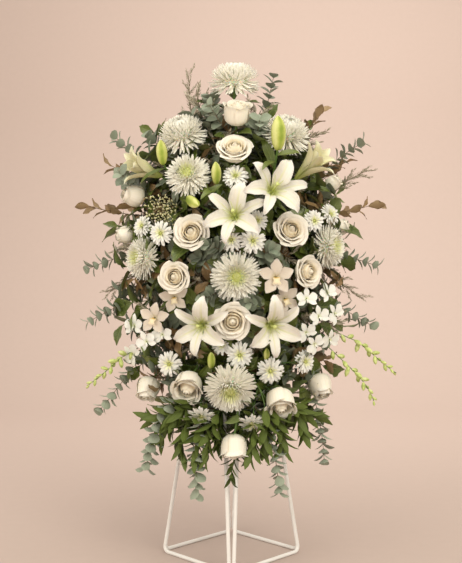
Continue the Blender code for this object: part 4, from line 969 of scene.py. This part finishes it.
SIXTH = math.radians(60)
open_lily = joined([
    even(outer_tepal, 3, tepal_skin, 0.06, -0.42, 64, 1.28, begin=SIXTH, slack=0.07, seed=61),
    even(inner_tepal, 3, tepal_skin, 0.05, -0.40, 66, 1.27, slack=0.07, seed=63),
    even(stamen, 6, style_skin, 0.03, -0.34, 80, 0.62, begin=0.5, slack=0.10, seed=65),
    turned(STYLE, 12, style_skin, lobes=0.16),
    turned(THROAT, 12, style_skin),
])
half_lily = joined([
    even(petal(12, 6, OUTER_WIDTH, HALF_RISE, 0.5, fold=0.1), 3, half_tepal_skin, 0.05, -0.42, 78, 1.10,
         begin=SIXTH, seed=67),
    even(petal(12, 6, INNER_WIDTH, HALF_RISE, 0.6, fold=0.1, ripple=0.02), 3, half_tepal_skin, 0.03, -0.40,
         84, 1.08, width=(0.9, 0.9), seed=69),
])
lily_bud = turned([
    (0, -0.50), (0.06, -0.49), (0.12, -0.44), (0.175, -0.32), (0.215, -0.14), (0.225, 0.06), (0.205, 0.23),
    (0.15, 0.38), (0.08, 0.48), (0.03, 0.53), (0, 0.54),
], 24, bud_skin, lobes=0.10)
LILY_SHAPES = {"lily": open_lily, "lily_half": half_lily, "lily_bud": lily_bud}
lily_leaf = petal(
    8, 4, ((0, 0.04), (0.3, 0.13), (0.55, 0.14), (0.85, 0.07), (1, 0.01)), ((0, 0), (0.5, -8), (1, -40)),
    0.10, fold=0.20, thick=0.012,
)
for order, (name, rows) in enumerate(LILIES.items()):
    kinds, heads = [row[0] for row in rows], heads_of([row[1:] for row in rows])
    shapes = [set_head(LILY_SHAPES[kind], head, kind == "lily") for kind, head in zip(kinds, heads)]
    depths = [LILY_DEPTHS[kind] for kind in kinds]
    planted(name, heads, depths, shapes, (0.003, 0.0026), lily_leaf, 0.54, (56, 72),
            (0.088, 0.072), 70 + order, 0.84)


# Spray chrysanthemums
# Small daisy-like white blooms with a yellow-green button of tight florets, two or three to a forked stem.
# They fill the spaces between the larger blooms.

DAISIES = {
    "daisies_upper": [(10, 975, 0, 0, 24, 0, 60)],
    "daisies_centre": [
        (0, 818, 4, -6, 0, 0, 55), (52, 816, 10, 4, 0, 10, 60), (64, 866, -4, 14, 12, 5, 50),
    ],
    "daisies_left": [(-224, 856, 0, -36, 14, 0, 52), (-174, 836, 6, -20, 0, 8, 58)],
    "daisies_right": [(206, 868, 6, 22, 4, 0, 52), (252, 888, 0, 40, 20, 6, 54)],
    "daisies_low_centre": [(-24, 560, -4, -4, 6, 0, 46), (20, 537, 10, 4, -4, 10, 62)],
    "daisies_low_right": [
        (96, 497, 12, 4, -12, 0, 64), (184, 516, 6, 36, 4, 9, 56), (50, 372, 58, 0, -50, 4, 64),
    ],
    "daisies_low_left": [(-154, 512, 6, -16, -6, 0, 60), (-74, 390, 56, -4, -48, 7, 62)],
}
DAISY_DEPTH = 0.09

ray_skin = petal_finish("daisy_white", (0.86, 0.88, 0.66), (0.91, 0.91, 0.87), (0.94, 0.94, 0.92),
                        (0.91, 0.91, 0.87), 0.25, 3)
button_skin = petal_finish("daisy_button", (0.66, 0.72, 0.18), (0.84, 0.86, 0.34), (0.90, 0.90, 0.48),
                           (0.66, 0.74, 0.20), 0.5, 2, 0.35)
ray = petal(5, 2, ((0, 0.04), (0.4, 0.11), (0.8, 0.125), (1, 0.04)), ((0, 14), (0.4, 2), (1, -12)), 0.16)
floret = petal(2, 2, ((0, 0.30), (0.6, 0.34), (1, 0.10)), ((0, 0), (1, 60)), 0.4, thick=0.3)
daisy = joined([
    whorl(ray, 24, ray_skin, (0.20, 0.18), (-0.06, -0.03), (-6, 4), (0.92, 0.90), slack=0.08, seed=81),
    whorl(ray, 24, ray_skin, (0.18, 0.14), (0.00, 0.05), (10, 26), (0.84, 0.66), begin=0.4, slack=0.10,
          seed=83),
    whorl(ray, 14, mum_heart, (0.16, 0.12), (0.04, 0.07), (34, 50), (0.54, 0.36), begin=0.2, slack=0.12,
          seed=84),
    whorl(floret, 50, button_skin, (0.24, 0.01), (0.05, 0.14), (48, 88), (0.12, 0.10), slack=0.1, seed=85),
    whorl(sepal, 9, sepal_skin, (0.06, 0.10), (-0.14, -0.08), (-4, 10), (0.30, 0.28), seed=87),
])
small_leaf = petal(
    6, 4, ((0, 0.04), (0.25, 0.20), (0.55, 0.27), (0.80, 0.15), (1, 0.015)), ((0, 4), (1, -26)), 0.08,
    fold=0.12, thick=0.014, ripple=0.05, waves=4.0,
)
for order, (name, rows) in enumerate(DAISIES.items()):
    heads = heads_of(rows)
    planted(name, heads, [DAISY_DEPTH] * len(heads), [set_head(daisy, head) for head in heads],
            (0.0018, 0.0014), small_leaf, 0.45, (52, 66), (0.048, 0.038), 90 + order, 0.86, 0.016)


# Orchids
# Blush cymbidiums, broad and waxy with a pale yellow lip, two to a spike on each side. White dendrobiums,
# small and pointed, on forked spikes that droop outwards into closed green buds.

ORCHIDS = {
    "cymbidium_right": [(109, 728, 6, 6, 4, 0, 88), (133, 674, -10, 14, -8, 20, 74)],
    "cymbidium_left": [(-192, 626, 10, -22, 0, -8, 78), (-142, 678, -12, -10, -10, 10, 74)],
    "dendrobium_right": [
        (186, 674, 10, 20, 10, 0, 46), (242, 688, 10, 34, 16, 20, 46), (264, 634, 14, 40, 4, 40, 48),
        (218, 630, 22, 26, 0, 15, 46), (186, 590, 12, 18, -8, 30, 44), (250, 568, 16, 36, -14, 5, 46),
        (208, 560, 20, 24, -10, 50, 44),
    ],
    "dendrobium_left": [
        (-246, 604, 10, -36, 6, 0, 50), (-212, 566, 16, -24, -6, 25, 48), (-252, 530, 12, -36, -14, 50, 50),
        (-172, 584, 2, -14, -6, 10, 44),
    ],
}
# The drooping ends of the spikes, each as three points of its path.
BUD_SPIKES = {
    "dendrobium_right": [
        ((330, -55, 560), (400, -50, 500), (428, -50, 480)),
        ((300, -85, 500), (345, -80, 450), (366, -80, 404)),
    ],
    "dendrobium_left": [((-285, -70, 520), (-330, -70, 480), (-372, -66, 448))],
}
CYMBIDIUM_DEPTH, DENDROBIUM_DEPTH = 0.10, 0.15

blush_skin = petal_finish("cymbidium_blush", (0.60, 0.53, 0.36), (0.66, 0.58, 0.50), (0.74, 0.67, 0.61),
                          (0.80, 0.70, 0.62), 0.30, 8, Specular_IOR_Level=0.4)
lip_skin = petal_finish("cymbidium_lip", (0.62, 0.36, 0.05), (0.88, 0.76, 0.52), (0.93, 0.87, 0.78),
                        (0.88, 0.72, 0.42), 0.34, 5)
dendrobium_skin = petal_finish("dendrobium_white", (0.84, 0.88, 0.62), (0.91, 0.92, 0.87),
                               (0.94, 0.94, 0.91), (0.90, 0.92, 0.86), 0.28, 6)
spike_bud_skin = mottled(
    "spike_bud_green", 0.42, (90, 3),
    ((0.3, (0.34, 0.44, 0.10)), (0.55, (0.58, 0.66, 0.24)), (0.8, (0.78, 0.80, 0.50))),
    None, None, 0.2, 0.0004,
)
WAX_WIDTH = (0, 0.10), (0.3, 0.27), (0.56, 0.35), (0.82, 0.20), (1, 0.02)
POINT_WIDTH = (0, 0.08), (0.35, 0.25), (0.6, 0.28), (0.9, 0.13), (1, 0.02)
ROUND_WIDTH = (0, 0.07), (0.3, 0.24), (0.62, 0.42), (0.88, 0.27), (1, 0.04)
BOWED = (0, 0), (0.5, -16), (1, -30)
wax_tepal = petal(9, 6, WAX_WIDTH, ((0, 0), (0.4, -18), (1, -34)), 0.16, fold=0.05)
point_tepal = petal(7, 4, POINT_WIDTH, BOWED, 0.12)
round_tepal = petal(7, 4, ROUND_WIDTH, BOWED, 0.12)
frilled_lip = petal(9, 6, ((0, 0.10), (0.3, 0.24), (0.55, 0.18), (0.8, 0.28), (1, 0.12)),
                    ((0, 0), (0.45, -20), (0.75, -60), (1, -130)), 0.75, ripple=0.05, waves=3.0)
column_hood = petal(6, 4, ((0, 0.09), (0.6, 0.10), (1, 0.05)), ((0, 0), (1, 50)), 0.5, thick=0.10)
cymbidium = joined([
    even(wax_tepal, 5, blush_skin, 0.07, -0.06, 24, 1.02, slack=0.07, seed=101),
    even(frilled_lip, 1, lip_skin, 0.02, 0.0, 54, 0.54, width=(1.7, 1.7), begin=math.pi, slack=0, seed=103),
    even(column_hood, 1, blush_skin, 0.03, 0.0, 52, 0.40, slack=0, seed=105),
])
dendrobium = joined([
    even(point_tepal, 3, dendrobium_skin, 0.08, -0.06, 24, 1.22, slack=0.08, seed=107),
    even(round_tepal, 2, dendrobium_skin, 0.07, -0.02, 26, 1.22, turn=math.radians(150),
         begin=math.radians(-75), slack=0.06, seed=109),
    even(frilled_lip, 1, dendrobium_skin, 0.04, 0.0, 56, 0.52, begin=math.pi, slack=0, seed=111),
    even(column_hood, 1, spike_bud_skin, 0.02, -0.02, 60, 0.26, slack=0, seed=113),
])
spike_bud = turned([(0, -0.02), (0.07, 0), (0.17, 0.2), (0.24, 0.45), (0.21, 0.70), (0.12, 0.90),
                    (0.04, 0.99), (0, 1)], 8)
spike_bud.transform(Matrix.Rotation(math.radians(-90), 4, "X"))
for order, (name, rows) in enumerate(ORCHIDS.items()):
    heads = heads_of(rows)
    kind, shape, depth, radius = ("cymbidium", cymbidium, CYMBIDIUM_DEPTH, 0.0022) if "cymbidium" in name \
        else ("dendrobium", dendrobium, DENDROBIUM_DEPTH, 0.0016)
    trunk, branches, fork = forked_stems(heads, [depth] * len(heads))
    parts = [stems([trunk], stem_green, (radius, radius)),
             stems(branches, stem_green, (radius, 0.75 * radius))]
    for points in BUD_SPIKES.get(name, ()):
        spike = smooth_path(*(metres(*point) for point in points))
        lead = [fork, fork.lerp(spike[0], 0.6)] + spike
        for path, thick, bare, spacing, spread, size, seed, leafy_to in (
            (lead, (0.0014, 0.0010), 0.44, 0.013, (50, 56), (0.026, 0.028), 130, 0.56),
            (spike, (0.0012, 0.0009), 0.0, 0.0105, (56, 30), (0.027, 0.015), 120, 0.94),
        ):
            parts.append(stems([path], stem_green, thick, spike_bud, spike_bud_skin, bare, spacing,
                               spread=spread, size=size, slack=0.2, seed=seed + order, leafy_to=leafy_to))
    piece(f"{name}_bloom", joined([set_head(shape, head) for head in heads]), [name])
    piece(f"{name}_stem", joined(parts), [name])


# Foliage
# Fans of leafy stems, each one branch cut to fork outside the foam: silver-dollar eucalyptus, dried bronze
# leaves, downy grey wisps with a tuft of tiny cream buds on the left, broad glossy leaves that cover the
# foam's sides and back, and narrow pointed leaves below.

# Each fan: kind, root in the foam, hub where it forks, and its stems as a way point and a tip.
FOLIAGE = {
    "eucalyptus_left": ("eucalyptus", (-30, 10, 800), (-90, 8, 806), (-200, 4, 985, -302, -10, 1094),
        (-225, 2, 800, -374, -12, 752), (-215, 2, 705, -376, -14, 612), (-210, 0, 570, -342, -20, 384),
        (-210, -10, 925, -276, -120, 985)),
    "eucalyptus_right": ("eucalyptus", (30, 10, 800), (90, 8, 806), (210, 4, 975, 344, -10, 1082),
        (230, 2, 800, 384, -12, 758), (215, 2, 700, 364, -16, 604), (200, -20, 480, 238, -75, 262)),
    "eucalyptus_hanging": ("eucalyptus", (-24, -26, 490), (-34, -120, 492),
        (-150, -140, 410, -214, -110, 250), (-80, -170, 370, -84, -150, 194),
        (75, -150, 380, 118, -150, 196)),
    "eucalyptus_top": ("eucalyptus", (34, -4, 970), (46, -4, 1030), (80, -10, 1130, 110, -30, 1250),
        (0, -80, 1080, -52, -150, 1150), (60, -80, 1070, 70, -150, 1118)),
    "eucalyptus_front": ("rosette", (20, -24, 745), (34, -90, 742), (0, -140, 780, -54, -190, 805),
        (70, -140, 775, 96, -188, 792), (50, -140, 690, 44, -192, 666), (-20, -140, 700, -64, -186, 676)),
    "bronze_left": ("bronze", (-36, 30, 880), (-90, 26, 890), (-220, 20, 890, -378, 4, 916),
        (-190, 20, 955, -318, 4, 1024)),
    "bronze_right": ("bronze", (36, 30, 880), (90, 26, 890), (220, 20, 890, 382, 4, 922),
        (150, 20, 1030, 236, 4, 1166), (190, 20, 950, 296, 4, 1030)),
    "wisp_left": ("wisp", (-36, 36, 850), (-84, 36, 852), (-100, 30, 1060, -114, 0, 1262),
        (-190, 34, 780, -324, 10, 688)),
    "wisp_right": ("wisp", (36, 36, 850), (84, 36, 852), (190, 30, 920, 356, 10, 1010),
        (190, 34, 780, 338, 10, 680)),
    "salal_top": ("salal", (-10, 30, 965), (-12, 26, 1020), (-90, 20, 1070, -205, -10, 1110),
        (-40, 10, 1100, -55, -50, 1168), (50, 20, 1090, 85, -30, 1140), (80, 30, 1070, 190, 10, 1120)),
    "salal_left": ("salal", (-36, 40, 720), (-90, 40, 722), (-170, 40, 860, -270, 10, 960),
        (-190, 40, 790, -300, 10, 860), (-190, 40, 660, -290, 0, 600), (-160, 30, 580, -262, -20, 480)),
    "salal_right": ("salal", (36, 40, 720), (90, 40, 722), (170, 40, 850, 280, 10, 950),
        (190, 40, 780, 300, 10, 830), (190, 40, 660, 290, 0, 600), (160, 30, 580, 262, -20, 480)),
    "ruscus_bottom": ("ruscus", (24, -26, 490), (40, -120, 492), (-80, -150, 440, -170, -130, 330),
        (-30, -176, 400, -60, -180, 300), (-120, -150, 400, -205, -120, 375),
        (-90, -160, 390, -122, -160, 300), (-50, -165, 390, -92, -175, 285),
        (-14, -110, 410, -32, -160, 330), (22, -110, 410, 22, -150, 325), (55, -165, 390, 48, -185, 300),
        (100, -155, 400, 128, -155, 315), (145, -140, 410, 212, -110, 380), (80, -168, 420, 80, -170, 315),
        (130, -130, 440, 180, -130, 345)),
    "salal_back_upper": ("salal", (0, 30, 860), (0, 90, 862), (-100, 100, 910, -200, 80, 960),
        (-70, 110, 980, -120, 80, 1080), (0, 110, 990, 10, 70, 1120), (70, 110, 960, 130, 80, 1070),
        (100, 100, 900, 210, 80, 940)),
    "salal_back_lower": ("salal", (0, 30, 620), (0, 90, 620), (-100, 100, 680, -210, 80, 700),
        (100, 100, 680, 210, 80, 700), (-100, 100, 600, -190, 80, 560), (100, 100, 600, 190, 80, 560),
        (-60, 120, 540, -110, 130, 440), (60, 120, 540, 110, 130, 440)),
}

round_leaf = petal(
    5, 4, ((0, 0.05), (0.16, 0.28), (0.50, 0.43), (0.82, 0.30), (1, 0.05)), ((0, 4), (0.5, -4), (1, -20)),
    0.14, fold=0.05, thick=0.02,
)
lance_leaf = petal(
    8, 2, ((0, 0.03), (0.2, 0.11), (0.45, 0.155), (0.75, 0.105), (1, 0.008)),
    ((0, 4), (0.5, -6), (1, -22)), 0.06, fold=0.22, thick=0.012,
)
dry_leaf = petal(
    7, 4, ((0, 0.03), (0.2, 0.16), (0.48, 0.26), (0.78, 0.16), (1, 0.01)), ((0, 8), (0.5, -2), (1, -26)),
    0.14, fold=0.10, thick=0.012, ripple=0.03, waves=2.0,
)
plume_leaf = petal(3, 2, ((0, 0.05), (0.5, 0.17), (1, 0.02)), ((0, 0), (1, 40)), 0.3, thick=0.03)

eucalyptus_skin = leaf_finish(
    "eucalyptus_grey", (0.305, 0.36, 0.27), (0.18, 0.225, 0.165), (0.34, 0.385, 0.30), (0.38, 0.41, 0.32),
    (0.26, 0.19, 0.15), 6, 0.35, relief=0.20, Sheen_Weight=0.15,
)
bronze_skin = leaf_finish(
    "bronze_leaf", (0.36, 0.24, 0.115), (0.19, 0.12, 0.055), (0.36, 0.25, 0.14), (0.40, 0.27, 0.15),
    (0.10, 0.05, 0.022), 8, 0.4, 0.5,
)
wisp_skin = leaf_finish(
    "wisp_grey", (0.50, 0.44, 0.34), (0.35, 0.305, 0.23), (0.48, 0.44, 0.35), (0.50, 0.46, 0.36),
    (0.30, 0.27, 0.20), 4, 0.2,
)
narrow_skin = leaf_finish(
    "narrow_leaf", (0.06, 0.088, 0.01), (0.022, 0.04, 0.005), (0.11, 0.15, 0.03), (0.16, 0.21, 0.05),
    (0.09, 0.16, 0.03), 5, Coat_Weight=0.06, Coat_Roughness=0.30, Specular_IOR_Level=0.3,
)
eucalyptus_bark = stem_finish("eucalyptus_bark", (0.30, 0.19, 0.13), (0.16, 0.13, 0.08))
bronze_bark = stem_finish("bronze_bark", (0.20, 0.12, 0.06), (0.09, 0.055, 0.03))

plume_spine = [Vector((0, step / 5, 0.03 * step * step / 25)) - CENTRING for step in range(6)]
plume_twig = stems([plume_spine], bronze_bark, (0.014, 0.006), plume_leaf, wisp_skin, 0.08, 0.06,
                   spread=(50, 30), size=(0.34, 0.24), slack=0.35, seed=191)
# Bark, radius, leaf and skin, then bare share of the stem, spacing, turn, leaves together, spread and size.
EUCALYPTUS = eucalyptus_bark, 0.0014, round_leaf, eucalyptus_skin
FAN_KINDS = {
    "eucalyptus": (*EUCALYPTUS, 0.24, 0.013, math.pi / 2, 2, (72, 52), (0.04, 0.029)),
    "rosette": (*EUCALYPTUS, 0.58, 0.0075, 1.2, 2, (84, 34), (0.037, 0.026)),
    "bronze": (bronze_bark, 0.0014, dry_leaf, bronze_skin, 0.34, 0.017, GOLDEN_ANGLE, 1, (58, 30),
               (0.056, 0.042)),
    "wisp": (bronze_bark, 0.001, plume_twig, wisp_skin, 0.30, 0.0095, GOLDEN_ANGLE, 1, (46, 24),
             (0.056, 0.03)),
    "salal": (stem_green, 0.0016, broad_leaf, glossy_leaf, 0.16, 0.026, GOLDEN_ANGLE, 1, (60, 34),
              (0.082, 0.052)),
    "ruscus": (stem_green, 0.0015, lance_leaf, narrow_skin, 0.54, 0.0052, GOLDEN_ANGLE, 1, (46, 18),
               (0.068, 0.052)),
}
# Short leafy stems pushed into the foam between the blooms: the fan they go with, its side of the bed as
# lowest and highest x and z, and which stems of every ten.
COVER = {
    "salal_left": (-1, 0, 0.45, 1.02, (0, 3, 6, 9)), "salal_right": (0, 1, 0.45, 1.02, (0, 3, 6, 9)),
    "salal_top": (-1, 1, 1.02, 1.11, (0, 3, 6, 9)), "ruscus_bottom": (-1, 1, 0, 0.45, (0, 3, 5, 6, 9)),
    "eucalyptus_left": (-1, -0.09, 0.45, 1.02, (1, 4, 7)),
    "eucalyptus_right": (0.09, 1, 0.45, 1.02, (1, 4, 7)),
    "eucalyptus_front": (-0.09, 0.09, 0.45, 1.02, (1, 4, 7)),
    "eucalyptus_top": (-1, 1, 1.02, 1.2, (0, 1, 4, 7)), "eucalyptus_hanging": (-1, 1, 0, 0.45, (1, 4, 7)),
    "bronze_left": (-1, 0, 0, 1.12, (2, 8)), "bronze_right": (0, 1, 0, 1.12, (2, 8)),
    "wisp_left": (-1, 0, 0.45, 1.2, (5,)), "wisp_right": (0, 1, 0.45, 1.2, (5,)),
}
COVER_STEMS, COVER_HALF_WIDTH, COVER_HALF_HEIGHT, COVER_SINK = 240, 0.292, 0.48, -0.045
COVER_RADIUS = 0.0016, 0.0012
# The same behind, where the foam's back faces the wall: lowest and highest z.
BACK_COVER = {"salal_back_upper": (0.80, 1.08), "salal_back_lower": (0.50, 0.78)}
BACK_STEMS = 10


def cover_paths(low_x, high_x, low_z, high_z, picked):
    """Stems that run out from the foam to a spiral of even points just behind the blooms."""
    paths = []
    for number in range(COVER_STEMS):
        reach, turn = math.sqrt((number + 0.5) / COVER_STEMS), number * GOLDEN_ANGLE
        x = COVER_HALF_WIDTH * reach * math.cos(turn)
        z = BED_MIDDLE + COVER_HALF_HEIGHT * reach * math.sin(turn)
        if low_x <= x < high_x and low_z <= z < high_z and number % 10 in picked:
            tip = on_bed(x, z, COVER_SINK)
            root = root_of(tip)
            paths.append(smooth_path(root, root.lerp(tip, 0.5), tip, 6))
    return paths


def back_paths(low_z, high_z):
    """Short stems that stand out of the foam's back in two staggered columns and lean outwards."""
    paths = []
    for number in range(BACK_STEMS):
        side, z = (-1, 1)[number % 2], low_z + (number + 0.5) * (high_z - low_z) / BACK_STEMS
        root = Vector((0.030 * side, 0.045, z)) - CENTRING
        tip = Vector((0.070 * side, 0.096, z + 0.030)) - CENTRING
        paths.append(smooth_path(root, root.lerp(tip, 0.5) + Vector((0, 0.010, 0)), tip, 6))
    return paths


for order, (name, (kind, root, hub, *ways)) in enumerate(FOLIAGE.items()):
    bark, radius, leaf, skin, bare, spacing, turn, together, spread, size = FAN_KINDS[kind]
    root, hub = Vector(metres(*root)), Vector(metres(*hub))
    collar = hub.lerp(root, 0.03)
    paths = [smooth_path(collar, metres(*way[:3]), metres(*way[3:]), 12) for way in ways]
    parts = [
        stems([[root.lerp(hub, step / 3) for step in range(4)]], bark, (1.6 * radius, 1.5 * radius)),
        stems(paths, bark, (1.2 * radius, 0.6 * radius), leaf, skin, bare, spacing, turn, together, spread,
              size, seed=200 + 7 * order),
    ]
    if name in COVER:
        _, _, leaf, skin, _, spacing, turn, together, _, (width, _) = FAN_KINDS[
            "salal" if kind == "ruscus" else kind]
        parts.append(stems(cover_paths(*COVER[name]), bark, COVER_RADIUS, leaf, skin, 0.46, 0.75 * spacing,
                           turn, together, (74, 50), (1.10 * width, 0.95 * width), seed=300 + order))
    if name in BACK_COVER:
        parts.append(stems(back_paths(*BACK_COVER[name]), bark, COVER_RADIUS, leaf, skin, 0.40, 0.015, turn,
                           together, (78, 62), (0.074, 0.062), seed=360 + order))
    if name == "wisp_left":
        tips = [on_bed(-0.212 + 0.016 * (number % 4), 0.884 + 0.022 * (number // 4), 0.004)
                for number in range(12)]
        mist = [smooth_path(root_of(tip), root_of(tip).lerp(tip, 0.6), tip, 8) for tip in tips]
        parts.append(stems(mist, bark, (0.0008, 0.0005), spike_bud, half_tepal_skin, 0.66, 0.0052,
                           spread=(64, 40), size=(0.0095, 0.0075), slack=0.4, seed=341))
    if name == "ruscus_bottom":
        sprig = smooth_path(collar, (0.020, -0.120, 0.360), (-0.002, -0.195, 0.238), 14)
        parts.append(stems([sprig], bark, (1.2 * radius, 0.6 * radius), lance_leaf, narrow_skin, 0.74,
                           0.0065, spread=(60, 20), size=(0.046, 0.034), seed=331))
    piece(f"{name}_fan", joined(parts), [name])


# Floor, light and camera
# A pale blush sweep of seamless paper, lit by large soft boxes. The camera stands level with the middle of
# the spray, as the photographer's did.

SWEEP_RADIUS, SWEEP_START, SWEEP_HALF_WIDTH = 2.1, 2.4, 6.0
bend = [math.radians(6 * step) for step in range(16)]
curve = [(SWEEP_START + SWEEP_RADIUS * math.sin(turn), SWEEP_RADIUS - SWEEP_RADIUS * math.cos(turn))
         for turn in bend]
profile = [(-5, 0), *curve, (4.5, 6)]
sweep_mesh = bpy.data.meshes.new("paper_sweep")
points = [(side * SWEEP_HALF_WIDTH, y, z) for y, z in profile for side in (-1, 1)]
strips = [(2 * k, 2 * k + 1, 2 * k + 3, 2 * k + 2) for k in range(len(profile) - 1)]
sweep_mesh.from_pydata(points, [], strips)
sweep_mesh.shade_smooth()
sweep_mesh.materials.append(mottled(
    "blush_paper", 0.9, (30, 5, 0.6), ((0.3, (0.508, 0.411, 0.377)), (0.7, (0.520, 0.420, 0.386))), None,
    (400, 3), 0.05, 0.0004,
))
paper_sweep = bpy.data.objects.new("paper_sweep", sweep_mesh)
bpy.context.scene.collection.objects.link(paper_sweep)
paper_sweep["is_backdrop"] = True

# Large soft lights: where each stands, the point it faces, its size, power and colour.
for name, place, aim, size, power, colour in (
    ("key_light", (1.3, -2.6, 2.3), (0, 0, 0.75), (1.6, 1.6), 46.5, (1, 0.95, 0.80)),
    ("fill_light", (-2.2, -2.0, 1.1), (0, 0, 0.75), (1.8, 1.8), 26, (1, 0.93, 0.79)),
    ("top_light", (0.2, -0.7, 3.0), (0, 0, 0.6), (1.8, 1.8), 19, (1, 0.96, 0.84)),
    ("paper_light", (0.7, 1.6, 3.0), (0.1, 4.5, 0.8), (3.6, 1.6), 90, (1, 0.94, 0.84)),
):
    lamp = bpy.data.lights.new(name, "AREA")
    lamp.shape = "RECTANGLE"
    lamp.size, lamp.size_y = size
    lamp.energy, lamp.color = power, colour
    stand = bpy.data.objects.new(name, lamp)
    stand.location = place
    stand.rotation_euler = (Vector(aim) - Vector(place)).to_track_quat("-Z", "Y").to_euler()
    bpy.context.scene.collection.objects.link(stand)
world = bpy.data.worlds.new("studio")
world.use_nodes = True
sky = world.node_tree.nodes["Background"].inputs
sky["Color"].default_value, sky["Strength"].default_value = (1, 0.92, 0.79, 1), 0.82
bpy.context.scene.world = world

camera = bpy.data.cameras.new("camera")
camera.lens, camera.sensor_width = 55.2, 36
viewer = bpy.data.objects.new("camera", camera)
viewer.location = (-0.010, -2.253, 0.717)
viewer.rotation_euler = (math.radians(90), 0, 0)
bpy.context.scene.collection.objects.link(viewer)
bpy.context.scene.camera = viewer
bpy.context.scene.view_settings.view_transform = "Standard"

boxes = {"cad": cad_box, "visual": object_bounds()}
{label: [[float(value) for value in corner] for corner in box] for label, box in boxes.items()}
